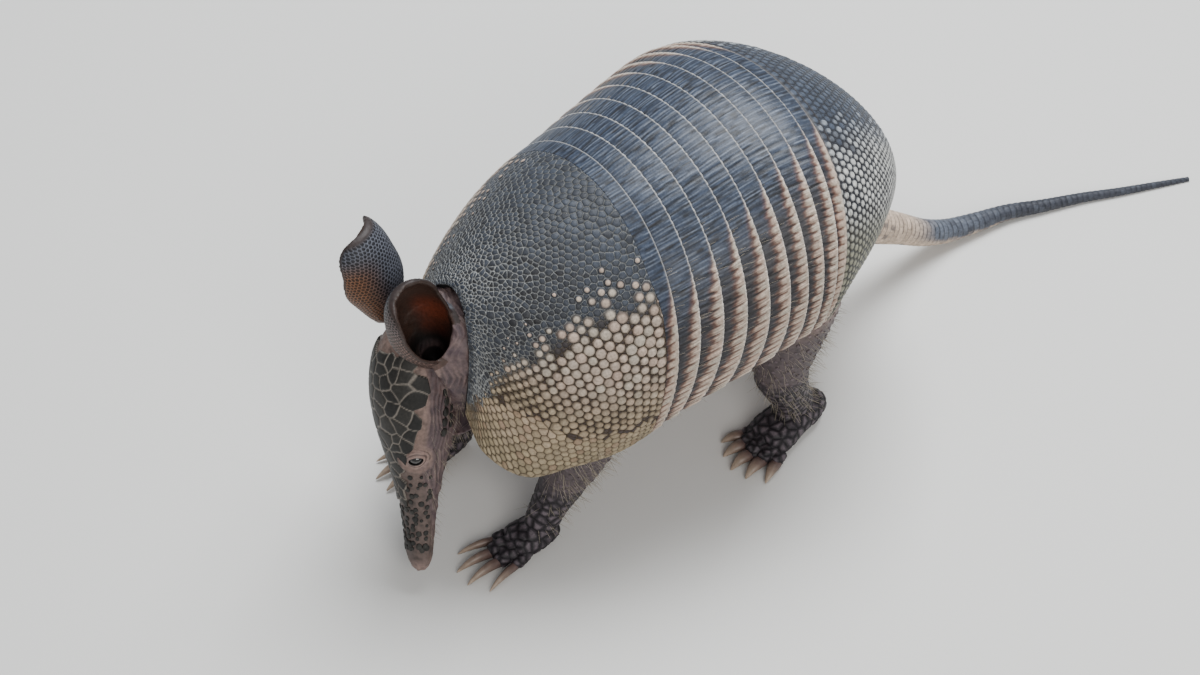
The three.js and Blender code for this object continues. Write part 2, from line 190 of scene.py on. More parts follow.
def scutes(a, b, large, jitter, small_ones=True):
    """For each point of the lattice (a rows, b columns): distance to the scute's border in columns, whether
    the scute is a large one, its random numbers, and the lattice place of its middle."""
    rows = np.floor(a).astype(int)
    best = np.full(a.shape, np.inf)
    found = {k: np.zeros(a.shape) for k in ("x", "y", "big", "i", "j", "k")}

    def sites():
        """The sites round each point, with their power there."""
        for di in range(-1, 3):
            i = rows + di
            shift = 0.5 * (i % 2)
            first = np.floor(b - shift).astype(int)
            for dj in range(-1, 3):
                j = first + dj
                for k, (oa, ob, big) in enumerate(SITES):
                    if big or small_ones:
                        r = site_random(i, j, k)
                        x = (i + oa) * ROW + (r[..., 0] - 0.5) * jitter
                        y = j + shift + ob + (r[..., 1] - 0.5) * jitter
                        reach = large * (0.85 + 0.3 * r[..., 2]) if big else SMALL_REACH
                        yield i, j, k, big, x, y, (a * ROW - x) ** 2 + (b - y) ** 2 - reach**2

    # The scute that a point belongs to has the least power, and its border lies where another's is as low.
    for i, j, k, big, x, y, power in sites():
        nearer = power < best
        best = np.where(nearer, power, best)
        for name, value in (("x", x), ("y", y), ("big", big), ("i", i), ("j", j), ("k", k)):
            found[name] = np.where(nearer, value, found[name])
    edge = np.full(a.shape, np.inf)
    for i, j, k, big, x, y, power in sites():
        apart = np.hypot(x - found["x"], y - found["y"])
        gap = (power - best) / (2 * np.maximum(apart, 1e-6))
        edge = np.minimum(edge, np.where(apart > 1e-6, gap, np.inf))
    random = site_random(*(found[n].astype(int) for n in ("i", "j", "k")))
    return edge, found["big"], random, found["x"] / ROW, found["y"]


class Lattice:
    """Columns of scutes round the arc, and rows spaced to suit them, counted from one end of a grid (S, t).
    crowd draws the columns together toward the flanks."""

    def __init__(self, S, t, columns, from_rear=False, crowd=0.0):
        self.S = S
        self.t = t
        self.b = (t + crowd * (t**3 - t) + 1) / 2 * columns
        along = np.linalg.norm(face_point(S + 0.5, t) - face_point(S - 0.5, t), axis=-1)
        across = np.linalg.norm(face_point(S, t + 0.01) - face_point(S, t - 0.01), axis=-1) / 0.02
        self.pitch = across * 2 / columns / (1 + crowd * (3 * t**2 - 1))
        per_mm = along / (ROW * self.pitch)
        steps = (per_mm[1:] + per_mm[:-1]) / 2 * np.diff(S, axis=0)
        self.a = np.concatenate([np.zeros((1, S.shape[1])), np.cumsum(steps, 0)])
        if from_rear:
            self.a = self.a - self.a[-1:] + LAST_ROW

    def own_t(self, b):
        """t at any column."""
        return np.interp(b, self.b[0], self.t[0])

    def place(self, a, b):
        """S and t of any lattice places."""
        t = self.own_t(b)
        rows, columns = self.S.shape
        j = (t + 1) / 2 * (columns - 1)
        j0 = np.clip(np.floor(j).astype(int), 0, columns - 2)
        table = self.a[:, j0] * (1 - (j - j0)) + self.a[:, j0 + 1] * (j - j0)
        r = np.clip((table <= a).sum(0) - 1, 0, rows - 2)
        every = np.arange(len(a))
        share = (a - table[r, every]) / (table[r + 1, every] - table[r, every])
        return self.S[0, 0] + (r + share) * (self.S[1, 0] - self.S[0, 0]), t


def cell_corners(x, y, reach):
    """The corners of each site's cell in a power diagram, counterclockwise; hidden sites have none."""
    tree = KDTree(len(x))
    for i, (p, q) in enumerate(zip(x.tolist(), y.tolist())):
        tree.insert((p, q, 0), i)
    tree.balance()
    weight = (reach**2).tolist()
    out = []
    # Each cell starts as a square and is cut by the border with every neighbour, the nearest border first.
    for i, (p, q) in enumerate(zip(x.tolist(), y.tolist())):
        planes = []
        for (u, v, _), k, d in tree.find_range((p, q, 0), CELL_REACH):
            if k != i:
                planes.append(((d * d + weight[i] - weight[k]) / (2 * d), (u - p) / d, (v - q) / d))
        planes.sort()
        corners = [(-1, -1), (1, -1), (1, 1), (-1, 1)]
        far = 1.5
        for limit, nx, ny in planes:
            if limit > far or not corners:
                break
            cut = []
            for (ax, ay), (bx, by) in zip(corners, corners[1:] + corners[:1]):
                a = ax * nx + ay * ny - limit
                b = bx * nx + by * ny - limit
                if a <= 0:
                    cut.append((ax, ay))
                if a * b < 0:
                    share = a / (a - b)
                    cut.append((ax + (bx - ax) * share, ay + (by - ay) * share))
            corners = cut
            far = max((np.hypot(*c) for c in corners), default=0)
        out.append([(p + u, q + v) for u, v in corners])
    return out


# Meshes.
def new_piece(name, points, faces, material=None, tone=None, uv=None):
    """A mesh object from points in millimetres. faces are arrays of corner numbers, one array for each count
    of corners; tone is a colour for each vertex, and uv a place for each vertex or for each corner."""
    mesh = bpy.data.meshes.new(name)
    mesh.vertices.add(len(points))
    mesh.vertices.foreach_set("co", (np.asarray(points) * MM).ravel())
    sizes = np.concatenate([np.full(len(f), f.shape[1]) for f in faces])
    corners = np.concatenate([f.ravel() for f in faces]).astype(np.int32)
    mesh.loops.add(len(corners))
    mesh.loops.foreach_set("vertex_index", corners)
    mesh.polygons.add(len(sizes))
    mesh.polygons.foreach_set("loop_start", np.concatenate([[0], np.cumsum(sizes)[:-1]]).astype(np.int32))
    mesh.polygons.foreach_set("loop_total", sizes.astype(np.int32))
    mesh.polygons.foreach_set("use_smooth", np.ones(len(sizes), bool))
    if tone is not None:
        rgba = np.column_stack([tone, np.ones(len(tone))]).astype(np.float32)
        mesh.attributes.new("tone", "FLOAT_COLOR", "POINT").data.foreach_set("color", rgba.ravel())
    mesh.update(calc_edges=True)
    if uv is not None:
        corner_uv = uv if len(uv) == len(corners) and len(uv) != len(points) else np.asarray(uv)[corners]
        layer = mesh.uv_layers.new(name="OFBake")
        layer.uv.foreach_set("vector", np.ravel(corner_uv).astype(np.float32))
    mesh.validate()
    if material:
        mesh.materials.append(material)
    piece = bpy.data.objects.new(name, mesh)
    bpy.context.scene.collection.objects.link(piece)
    return piece


def grid_faces(rows, columns, start=0):
    """The quads of a grid of vertices, the first of them numbered start."""
    i, j = np.meshgrid(np.arange(rows - 1), np.arange(columns - 1), indexing="ij")
    a = (start + i * columns + j).ravel()
    return np.stack([a, a + 1, a + columns + 1, a + columns], 1)


def border(rows, columns):
    """Indices of a grid's outermost vertices, in order round it."""
    top = [(0, j) for j in range(columns - 1)]
    right = [(i, columns - 1) for i in range(rows - 1)]
    bottom = [(rows - 1, j) for j in range(columns - 1, 0, -1)]
    left = [(i, 0) for i in range(rows - 1, 0, -1)]
    return np.array([i * columns + j for i, j in top + right + bottom + left])


LEAN = 6  # the inner face has one quad for this many of the outer one's in each direction
RIM_LEVELS = (0.12, 0.35, 0.7)  # of the way from the outer face to the inner one


def plate_piece(name, base, normal, height, tone, material, depth, lip=0.7):
    """A plate over a grid of points: a fine outer face at the given heights, a rounded rim, and a coarser
    inner face at the given depths. Each side of the grid has one point more than a multiple of LEAN."""
    rows, columns = base.shape[:2]
    outer = base + normal * height[..., None]
    under = base - normal * depth[..., None]
    coarse = (slice(None, None, LEAN), slice(None, None, LEAN))
    inner = under[coarse]
    ring = border(rows, columns)
    edge = outer.reshape(-1, 3)[ring]
    below = under.reshape(-1, 3)[ring]
    # The rim turns down square to the border, bulging outward by lip.
    tangent = np.roll(edge, -1, 0) - np.roll(edge, 1, 0)
    out = unit(np.cross(normal.reshape(-1, 3)[ring], unit(tangent)))
    rims = [edge * (1 - u) + below * u + out * lip * 2 * np.sqrt(u * (1 - u)) for u in RIM_LEVELS]
    parts = [outer.reshape(-1, 3), *rims, inner.reshape(-1, 3)]
    starts = np.concatenate([[0], np.cumsum([len(p) for p in parts])])
    loops = [ring] + [np.arange(len(ring)) + starts[k + 1] for k in range(len(rims))]
    quads = [grid_faces(rows, columns)]
    for upper, lower in zip(loops[:-1], loops[1:]):
        quads.append(np.stack([upper, lower, np.roll(lower, -1), np.roll(upper, -1)], 1))
    inner_rows, inner_columns = inner.shape[:2]
    quads.append(grid_faces(inner_rows, inner_columns, starts[-2])[:, ::-1])
    inner_ring = border(inner_rows, inner_columns) + starts[-2]
    # A fan of triangles joins the rim's last row to the inner face's coarser border.
    triangles = []
    last = loops[-1]
    for k, c in enumerate(inner_ring):
        after = inner_ring[(k + 1) % len(inner_ring)]
        for m in range(LEAN):
            near = last[k * LEAN + m]
            far = last[(k * LEAN + m + 1) % len(last)]
            triangles.append((near, c if m < LEAN // 2 else after, far))
        triangles.append((last[k * LEAN + LEAN // 2], c, after))
    u, v = np.meshgrid(np.linspace(0, 1, rows), np.linspace(0, 1, columns), indexing="ij")
    uv = np.stack([0.01 + 0.8 * u, 0.01 + 0.98 * v], -1)
    rim_uv = [np.stack([0.815 + 0.03 * k + 0 * ring, np.arange(len(ring)) / len(ring)], 1)
              for k in range(len(rims))]
    inner_uv = np.stack([0.9 + 0.09 * u, 0.01 + 0.98 * v], -1)[coarse]
    all_uv = np.concatenate([uv.reshape(-1, 2), *rim_uv, inner_uv.reshape(-1, 2)])
    flat = tone.reshape(-1, 3)
    all_tone = np.concatenate([flat] + [flat[ring]] * len(rims) + [tone[coarse].reshape(-1, 3)])
    faces = quads + [np.array(triangles)]
    return new_piece(name, np.concatenate(parts), faces, material, all_tone, all_uv)


# Colours, as sRGB levels from 0 to 255.
def colour(r, g, b):
    """The colour in the linear levels that materials take."""
    c = np.array([r, g, b]) / 255
    return np.where(c <= 0.04045, c / 12.92, ((c + 0.055) / 1.055) ** 2.4)


SLATE = colour(74, 83, 98)
SLATE_DARK = colour(44, 50, 61)
SLATE_PALE = colour(146, 152, 160)
BAND_SLATE = colour(61, 71, 89)
BAND_DARK = colour(36, 43, 56)
BAND_PALE = colour(142, 151, 166)
NET = colour(150, 151, 150)
CREAM = colour(190, 179, 164)
CREAM_PINK = colour(193, 170, 154)
CREAM_GREEN = colour(158, 147, 116)
TAN = colour(162, 144, 118)
RUST = colour(112, 74, 58)
BROWN_DARK = colour(52, 43, 37)
BLACKISH = colour(33, 32, 34)
PEARL = colour(180, 180, 176)
LICHEN = colour(122, 120, 99)
RIM = colour(206, 203, 199)


def mix(first, second, share):
    """Goes from the first colour to the second as share goes from 0 to 1."""
    return first + (second - first) * np.asarray(share)[..., None]


# Materials: plain ones, and the painted colour of each vertex with mottling, streaks and grain over it.
STREAK_DEPTH = 0.5
BUMP_STRENGTH = 0.6


def plain(name, level, roughness):
    """A material of one colour."""
    material = bpy.data.materials.new(name)
    material.use_nodes = True
    shader = material.node_tree.nodes["Principled BSDF"]
    shader.inputs["Base Color"].default_value = (*level, 1)
    shader.inputs["Roughness"].default_value = roughness
    return material


def painted(name, roughness, grain, relief, mottle=0.25, streak=None, shine=0.38):
    """A material of the vertices' own colours. grain is the mottling's size in metres, relief the depth of
    the bump over it, and shine the specular level. streak stretches a second noise over the unwrap."""
    material = bpy.data.materials.new(name)
    material.use_nodes = True
    tree = material.node_tree
    nodes = tree.nodes
    shader = nodes["Principled BSDF"]
    tone = nodes.new("ShaderNodeAttribute")
    tone.attribute_name = "tone"
    place = nodes.new("ShaderNodeTexCoord")
    speckle = nodes.new("ShaderNodeTexNoise")
    speckle.inputs["Scale"].default_value = 1 / grain
    speckle.inputs["Detail"].default_value = 4
    tree.links.new(place.outputs["Object"], speckle.inputs["Vector"])

    def varied(colours, factor, amount):
        """The colours made lighter and darker by up to amount, as a noise varies."""
        level = nodes.new("ShaderNodeMapRange")
        level.inputs["From Min"].default_value = 0.3
        level.inputs["From Max"].default_value = 0.7
        level.inputs["To Min"].default_value = 1 - amount
        level.inputs["To Max"].default_value = 1 + amount
        scaled = nodes.new("ShaderNodeVectorMath")
        scaled.operation = "SCALE"
        tree.links.new(factor, level.inputs["Value"])
        tree.links.new(colours, scaled.inputs[0])
        tree.links.new(level.outputs["Result"], scaled.inputs["Scale"])
        return scaled.outputs["Vector"]

    last = varied(tone.outputs["Color"], speckle.outputs["Fac"], mottle)
    if streak:
        unwrap = nodes.new("ShaderNodeUVMap")
        unwrap.uv_map = "OFBake"
        stretch = nodes.new("ShaderNodeMapping")
        stretch.inputs["Scale"].default_value = (*streak, 1)
        lines = nodes.new("ShaderNodeTexNoise")
        lines.inputs["Scale"].default_value = 1
        lines.inputs["Detail"].default_value = 3
        tree.links.new(unwrap.outputs["UV"], stretch.inputs["Vector"])
        tree.links.new(stretch.outputs["Vector"], lines.inputs["Vector"])
        last = varied(last, lines.outputs["Fac"], STREAK_DEPTH)
    tree.links.new(last, shader.inputs["Base Color"])
    bump = nodes.new("ShaderNodeBump")
    bump.inputs["Distance"].default_value = relief
    bump.inputs["Strength"].default_value = BUMP_STRENGTH
    tree.links.new(speckle.outputs["Fac"], bump.inputs["Height"])
    tree.links.new(bump.outputs["Normal"], shader.inputs["Normal"])
    shader.inputs["Roughness"].default_value = roughness
    shader.inputs["Specular IOR Level"].default_value = shine
    return material


SHIELD_HORN = painted("shield_horn", 0.46, 0.0009, 0.0001, shine=0.2)
BAND_HORN = painted("band_horn", 0.42, 0.0009, 0.0001, streak=(1.5, 330), shine=0.3)


# Shell. A band's rear part is a row of teeth, long and cream low on the flank, mere streaks on the back.
TEETH = 70
SHELL_COLUMNS = 505  # points from margin to margin of a plate with teeth
TOOTH_RANDOM = np.random.default_rng(23).random((16, 256, 4))
# The share of the arc from which the teeth are cream, and their length by how far past it they are.
tooth_cream_from = through([75, 94, 104, 117, 129, 142, 153, 164],
                           [0.53, 0.46, 0.42, 0.38, 0.34, 0.3, 0.27, 0.22])
tooth_length = through([-0.1, -0.02, 0.05, 0.13, 0.25, 0.45, 0.75], [0.4, 1.1, 2.6, 3.8, 5.0, 6.0, 6.9])


def teeth(v, t, S, row):
    """Height and colour of the teeth v mm ahead of the margin at S that they end on. Teeth on the flank are
    cream with dark grooves between them, and those on the back fine lines on slate."""
    # w counts teeth from the right margin, and c goes from 0 in a tooth's middle to 1 at its grooves.
    w = (t + 1) / 2 * TEETH
    w = w + 0.08 * noise(flat3(v * 0.5, w * 3.7), 5, row)
    r = TOOTH_RANDOM[row, np.floor(w).astype(int) % 256]
    c = 2 * np.abs(w - np.floor(w) - 0.5)
    # low is how far down the flank a place lies past the line where the teeth turn cream.
    low = np.abs(t) - tooth_cream_from(S)
    hair = noise(flat3(v * 0.22, w * 3.7), 0.8, row + 20)
    broad = noise(flat3(v * 0.35, w * 3.7), 1.6, row + 40)
    length = tooth_length(low) * (0.82 + 0.36 * r[..., 0])
    reach = length * (1 - 0.5 * c**4) + 0.9 * hair * ramp(low, -0.05, 0.1)
    cream = 1 - ramp(v, reach - 0.9, reach + 0.7)
    rust = (1 - ramp(v, reach + 0.2, reach + 2.4)) * ramp(low, -0.05, 0.06)
    groove = ramp(c, 0.62, 0.94)
    flank = ramp(low, -0.04, 0.2)
    lines = ramp(np.cos(4 * np.pi * w + 5 * r[..., 2] + 0.8 * hair), 0.35, 0.95) * (0.55 + 0.45 * broad)
    # Between the teeth's ends and the plate ahead: slate on the back, brown in shade on the flank.
    slate = mix(BAND_DARK, BAND_SLATE, 0.3 + 0.45 * hair)
    slate = mix(slate, BAND_PALE, 0.44 * lines)
    slate = mix(slate, BLACKISH, 0.6 * ramp(-hair, 0.1, 0.7) + 0.35 * groove)
    shade = mix(BLACKISH, mix(BROWN_DARK, SLATE, 0.25), 0.45 + 0.55 * hair)
    shade = mix(shade, CREAM_PINK, 0.35 * lines * ramp(v, reach + 3.5, reach + 0.5))
    dark = mix(slate, shade, 0.92 * flank)
    # The teeth themselves, rusty toward their ends, with a pale rim along the margin.
    bare = mix(CREAM, CREAM_PINK, r[..., 1]) * (0.78 + 0.12 * hair[..., None])
    bare = mix(bare, mix(RUST, BLACKISH, 0.45), 0.95 * groove * ramp(v, 0.9, 2.2))
    bare = mix(bare, RUST, 0.45 * ramp(v, 0.45 * reach, 1.05 * reach))
    tone = mix(mix(dark, mix(RUST, BLACKISH, 0.35), 0.7 * rust), bare, cream * ramp(low, -0.12, 0.02))
    tone = mix(tone, RIM, 0.8 * hump(v, 0.36))
    ridge = 0.16 * (1 - c**2) * (0.3 + 0.7 * flank) - 0.1 * groove * ramp(v, 0, 1)
    height = ridge + cream * flank * 0.26 * (1 - c**2) + 0.08 * hair + 0.05 * broad
    return height, tone


def grid(start, end, rows, columns):
    """S from start to end and t from margin to margin, as two arrays."""
    return np.meshgrid(np.linspace(start, end, rows), np.linspace(-1, 1, columns), indexing="ij")


def finish_piece(piece, slot, *nodes):
    """Fixes a piece to the body and hides the nodes it stands for."""
    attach(piece, "root")
    if nodes:
        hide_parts(*nodes)


def shell_piece(node, S, t, height, tone, material, depth, lip=0.7):
    """A plate of the carapace over places (S, t)."""
    normal = face_normal(S, t)
    piece = plate_piece(node + "_scutes", face_point(S, t), normal, height, tone, material, depth, lip)
    finish_piece(piece, "armour", node)


def margin_depth(v, thin, over):
    """How deep a plate's inner face lies, v mm ahead of the margin that overlaps the next plate."""
    return thin + (PLATE - thin) * ramp(v, 0, over)


def dome(edge, reach):
    """The height share of a scute, edge from its border, that is level from reach on."""
    return 1 - (1 - np.minimum(edge / reach, 1)) ** 2


# Shoulder: columns of scutes, the share of the arc from which bricks cover the lower margin, and the one from
# which the scutes are cream domes.
SHIELD_FRONT = 0.25
COLUMNS = 56
BRICK_ROW = 0.87
BRICK_COLUMN = 0.94
brick_from = through([0, 3, 9, 15, 21, 27, 36, 60, 75],
                     [0.97, 0.87, 0.78, 0.76, 0.77, 0.81, 0.86, 0.89, 0.92])
cream_from = through([0, 5, 12, 20, 28, 36, 47, 75], [1.02, 0.88, 0.66, 0.57, 0.51, 0.47, 0.45, 0.46])


def tooth_zone(t, S):
    """How far ahead of the shoulder shield's rear margin its teeth reach."""
    return 7.0 - 1.8 * ramp(np.abs(t), cream_from(S) - 0.1, cream_from(S) + 0.08)


def scute_solids(name, corners, lattice, split, rings, look):
    """Closed scutes on the shoulder, with the given corners in lattice places and each side cut into split.
    rings are (inset in mm, or None for the scute's spot, and height share). look(S, t, inner) takes the
    scutes' middles and inner radii. It gives their height, the radius of their spot, their roundness, and
    their colours at the border, at each ring and on top."""
    loops = [[(ax + (bx - ax) * k / split, ay + (by - ay) * k / split)
              for (ax, ay), (bx, by) in zip(loop, loop[1:] + loop[:1]) for k in range(split)]
             for loop in corners]
    flat = np.array([point for loop in loops for point in loop])
    total = np.array([len(loop) for loop in loops])
    start = np.cumsum(total) - total
    owner = np.repeat(np.arange(len(loops)), total)
    here = np.arange(len(owner))
    after = np.where(here - start[owner] == total[owner] - 1, start[owner], here + 1)

    def mean(value):
        """The mean of a value over each scute's corners."""
        return np.bincount(owner, value) / total

    S, t = lattice.place(flat[:, 0] / ROW, flat[:, 1])
    S = np.clip(S, SHIELD_FRONT, SHIELD_END - tooth_zone(t, SHIELD_END) + 0.05)
    corner, corner_normal = face_point(S, t), face_normal(S, t)
    centre, centre_normal = face_point(mean(S), mean(t)), face_normal(mean(S), mean(t))
    side = corner[after] - corner
    long = np.linalg.norm(side, axis=1) + 1e-9
    away = np.linalg.norm(np.cross(side, centre[owner] - corner), axis=1) / long
    inner = np.bincount(owner, away * long) / np.bincount(owner, long)
    high, spot, roundness, border, inside, top = look(mean(S), mean(t), inner)
    ray = corner - centre[owner]
    length = np.linalg.norm(ray, axis=1)[:, None] + 1e-9
    place = 0.01 + 0.98 * np.stack([(S - SHIELD_FRONT) / (SHIELD_END - SHIELD_FRONT), (t + 1) / 2], 1)
    centre_place = np.stack([mean(place[:, 0]), mean(place[:, 1])], 1)
    # The border lies a little under the shell's face. Each ring goes between the border's own outline, drawn
    # in, and a circle, by the scute's roundness.
    levels = [corner - corner_normal * 0.03]
    colours = [border[owner]]
    places = [place]
    for k, (inset, rise) in enumerate(rings):
        radius = spot if inset is None else inner - inset
        share = np.clip(radius / inner, 0.12, 0.98)
        circle = ray / length * np.minimum(radius, inner * share)[owner, None]
        share = share[owner, None]
        round_share = (roundness * (1 if k else 0.5))[owner, None]
        level = centre[owner] + ray * share * (1 - round_share) + circle * round_share
        normal = unit(centre_normal[owner] + (corner_normal - centre_normal[owner]) * share)
        levels.append(level + normal * (high[owner] * rise)[:, None])
        colours.append(inside[k][owner])
        places.append(centre_place[owner] + (place - centre_place[owner]) * share)
    points = np.concatenate([*levels, centre + centre_normal * high[:, None], centre - centre_normal * 0.5])
    tone = np.concatenate([*colours, top, border])
    places = np.concatenate([*places, centre_place, centre_place])
    # Quads from level to level, triangles up to the top, and triangles under the border down to the root.
    size = len(owner)
    last = size * len(rings)
    tip = last + size
    quad = np.stack([here + size, after + size, after, here], 1)
    quads = np.concatenate([quad + size * k for k in range(len(rings))])
    caps = np.stack([owner + tip, after + last, here + last], 1)
    under = np.stack([owner + tip + len(loops), here, after], 1)
    uv = np.concatenate([places[quads].reshape(-1, 2), places[caps].reshape(-1, 2), np.repeat(place, 3, 0)])
    piece = new_piece(name, points, [quads, np.concatenate([caps, under])], SHIELD_HORN, tone, uv)
    finish_piece(piece, "armour")


def numbers(*spans):
    """Every combination of whole numbers from the spans, as one flat array for each span."""
    return [n.ravel() for n in np.meshgrid(*(np.arange(*span) for span in spans), indexing="ij")]


def shoulder_sites(lattice):
    """The shoulder's scutes, a row for each: its place (x, y) in columns, how far it pushes its border out,
    its kind (0 small, 1 large, 2 brick), three random numbers, and whether it is pale."""
    def zone(S, side, r):
        """Whether a place is on the shoulder, and whether it is among the bricks of the lower margin."""
        return (S > 0.5) & (S < SHIELD_END - 4), side >= brick_from(S) + 0.05 * (r[:, 3] - 0.5)

    i, j, k = numbers((80, LAST_ROW + 1), (-1, COLUMNS + 2), (3,))
    oa, ob, big = np.array(SITES)[k].T
    r = site_random(i, j, k)
    x = (i + oa) * ROW
    y = j + 0.5 * (i % 2) + ob
    S, t = lattice.place(x / ROW, y)
    side = np.abs(t)
    flank = ramp(side, cream_from(S) - 0.14, cream_from(S) + 0.02)
    nape = ramp(S, 34, 6) * (1 - flank)
    jitter = (0.3 + 0.16 * nape) * (1 - flank) + 0.07 * flank
    x = x + (r[:, 0] - 0.5) * jitter
    y = y + (r[:, 1] - 0.5) * jitter
    dark = 0.12 + 0.14 * ramp(S, 20, 65)
    over = side - cream_from(S)
    pale = ((over + 0.16 * (r[:, 3] - 0.5) > -0.02) | ((over > -0.15) & (r[:, 1] > 0.66))) & (big > 0)
    large = np.where(pale, dark * (1 - flank) + 0.47 * flank, dark)
    reach = np.where(big > 0, large, 0.18 * (1 - flank)) * (0.8 + 0.4 * r[:, 2])
    inside, among_bricks = zone(S, side, r)
    kept = inside & ~among_bricks & (side < 0.995) & (r[:, 3] > 0.42 * nape)
    scutes_above = np.stack([x, y, reach, big, r[:, 0], r[:, 1], r[:, 3], pale], 1)[kept]

    i, j = numbers((78, 142), (-2, 66))
    r = site_random(i, j, 4)
    x = i * BRICK_ROW + (r[:, 0] - 0.5) * 0.12
    y = (j + 0.5 * (i % 2)) * BRICK_COLUMN + (r[:, 1] - 0.5) * 0.12
    S, t = lattice.place(x / ROW, y)
    inside, among_bricks = zone(S, np.abs(t), r)
    kept = inside & among_bricks & (y > -0.3) & (y < COLUMNS + 0.3)
    reach = 0.1 + 0.25 * r[:, 2]
    bricks = np.stack([x, y, reach, 2 + 0 * x, r[:, 0], r[:, 1], r[:, 3], 0 * x], 1)[kept]
    return np.concatenate([scutes_above, bricks])


def shoulder_look(site, lattice, chosen):
    """The look of the scutes at the sites; chosen says which of three inner colours their rings have."""
    r0, r1, r3 = site[:, 4:7].T
    is_brick = site[:, 3] == 2
    is_pale = site[:, 7] > 0
    own_S, own_t = lattice.place(site[:, 0] / ROW, site[:, 1])
    ripeness = ramp(np.abs(own_t) - cream_from(own_S), -0.1, 0.16)

    def by_kind(brick, pale, dark):
        """The value that goes with each scute's kind, a number or a colour."""
        shape = (-1, 1) if np.ndim(dark) == 2 else (-1,)
        return np.where(is_brick.reshape(shape), brick, np.where(is_pale.reshape(shape), pale, dark))

    def look(S, t, inner):
        side = np.abs(t)
        flank = ramp(side, cream_from(S) - 0.02, cream_from(S) + 0.1)
        low = ramp(side, 0.8, 1.0)
        slate = mix(BLACKISH, SLATE, 0.3 * r0 + 0.15 * ramp(S, 25, 60))
        slate = mix(slate, mix(BROWN_DARK, RUST, 0.12), 0.8 * flank)
        net = mix(NET * 0.95, NET * 1.35, ramp(S, 50, 6))
        net = mix(net, mix(BROWN_DARK, TAN, 0.3), ramp(side, cream_from(S) - 0.04, cream_from(S) + 0.07))
        net = mix(net, SLATE_DARK, ramp(S, 3, 1) * 0.7)
        tanned = ramp(side, brick_from(S) - 0.24, brick_from(S) - 0.02)
        ripe = mix(mix(CREAM, CREAM_PINK, r1), TAN, 0.85 * tanned) * (0.6 + 0.24 * r3)[:, None]
        brick = mix(mix(TAN, CREAM_PINK, 0.3 * r1), CREAM_GREEN, 0.45 * low)
        brick = brick * (0.7 + 0.26 * r3 - 0.15 * low)[:, None]
        brick = mix(brick, RUST, 0.3 * (r0 > 0.9))
        dark = mix(mix(slate, SLATE_PALE, 0.01 + 0.05 * r1), slate, 0.6 * flank)
        front = ramp(S, 6.5, 3) * ramp(side, 0.99, 0.9)
        body = mix(by_kind(brick, ripe, dark), SLATE_DARK, 0.8 * front)
        border = np.where(is_brick[:, None], mix(BROWN_DARK, TAN, 0.4), net)
        # Painted shade and highlight: each scute's rings darken from its top toward its border, partly its
        # own pattern and partly shade on its dome, and its top is painted a little brighter than its body.
        outer = by_kind(body * 0.8, mix(slate * 0.8, body * 0.5, ripeness), slate * 0.85)
        middle = mix(outer, body, 0.7)
        middle = np.where(is_pale[:, None], mix(slate * 0.9, body * 0.8, ripeness), middle)
        spot = inner * np.where(is_pale, 0.42 + 0.3 * ripeness + 0.12 * (r0 - 0.5), 0.6)
        high = by_kind(0.34, 0.55, 0.2) * (0.85 + 0.3 * r3) + 0.12 * np.minimum(inner, 1)
        inside = [(outer, middle, body)[k] for k in chosen]
        return high, spot, by_kind(0.15, 0.85, 0.3), border, inside, body * 1.06

    return look


def shoulder_shield():
    """The shoulder's plate with its rear teeth, and the scutes on it as solids of their own."""
    teeth_from = SHIELD_END - 8.4
    ahead = np.linspace(0.15, teeth_from, 54)[:-1]
    rows = np.concatenate([ahead, np.linspace(teeth_from, SHIELD_END - 0.15, 26)])
    S, t = np.meshgrid(rows, np.linspace(-1, 1, SHELL_COLUMNS), indexing="ij")
    v = SHIELD_END - S
    reach = tooth_zone(t, S)
    ending = 1 - ramp(v, reach - 0.1, reach + 0.3)
    height, tone = teeth(v, t, SHIELD_END + 9, 9)
    height = -0.25 * (1 - ending) + (height + 0.12) * ending
    tone = mix(BLACKISH, tone, ending)
    shell_piece("shoulder_shield", S, t, height, tone, SHIELD_HORN, margin_depth(v, 0.75, 6))

    lattice = Lattice(*grid(0.15, SHIELD_END - 0.15, 90, 181), COLUMNS, from_rear=True, crowd=0.27)
    site = shoulder_sites(lattice)
    loops = cell_corners(*site[:, :3].T)
    whole = np.array([len(loop) > 2 for loop in loops])
    pale = site[:, 7] > 0
    for name, of_kind, split, rings, colours in (
            ("shoulder_pale_scutes", pale, 2, ((0.16, 0.25), (0.42, 0.5), (None, 0.86)), (0, 1, 2)),
            ("shoulder_dark_scutes", ~pale, 1, ((0.22, 0.5), (0.6, 0.88)), (0, 2))):
        these = np.flatnonzero(whole & of_kind)
        look = shoulder_look(site[these], lattice, colours)
        scute_solids(name, [loops[n] for n in these], lattice, split, rings, look)


def band(number):
    """A free band, its front tucked under the plate ahead of it."""
    start = SHIELD_END + (number - 1) * BAND_PITCH
    x, t = grid(-TUCK, BAND_PITCH, 31, SHELL_COLUMNS)
    v = BAND_PITCH - x
    height, tone = teeth(v, t, start + BAND_PITCH, number)
    margin = 1 - ramp(v, 0, 0.7)
    scallop = np.abs(np.cos(np.pi * (t + 1) / 2 * TEETH)) * margin
    S = start + x - 0.35 * (1 - scallop) * margin
    sunk = BAND_STEP * (1 - x / BAND_PITCH)
    bulge = 0.25 * np.sin(np.pi * np.clip(x / BAND_PITCH, 0, 1))
    free = ramp(x, -0.6, 1.2)
    # Painted shade: the front, tucked under the plate ahead, is darkened toward black.
    tone = mix(mix(tone, BLACKISH, 0.6), tone, free)
    height = height * (0.35 + 0.65 * free) - sunk + bulge
    shell_piece(f"band_{number}", S, t, height, tone, BAND_HORN, margin_depth(v, 0.8, 8), lip=0.35)


# Round scutes cover the pelvic shield's flanks: they start at this share of the arc.
pearls_from = through([152, 180, 208, 240], [0.26, 0.225, 0.165, 0.12])


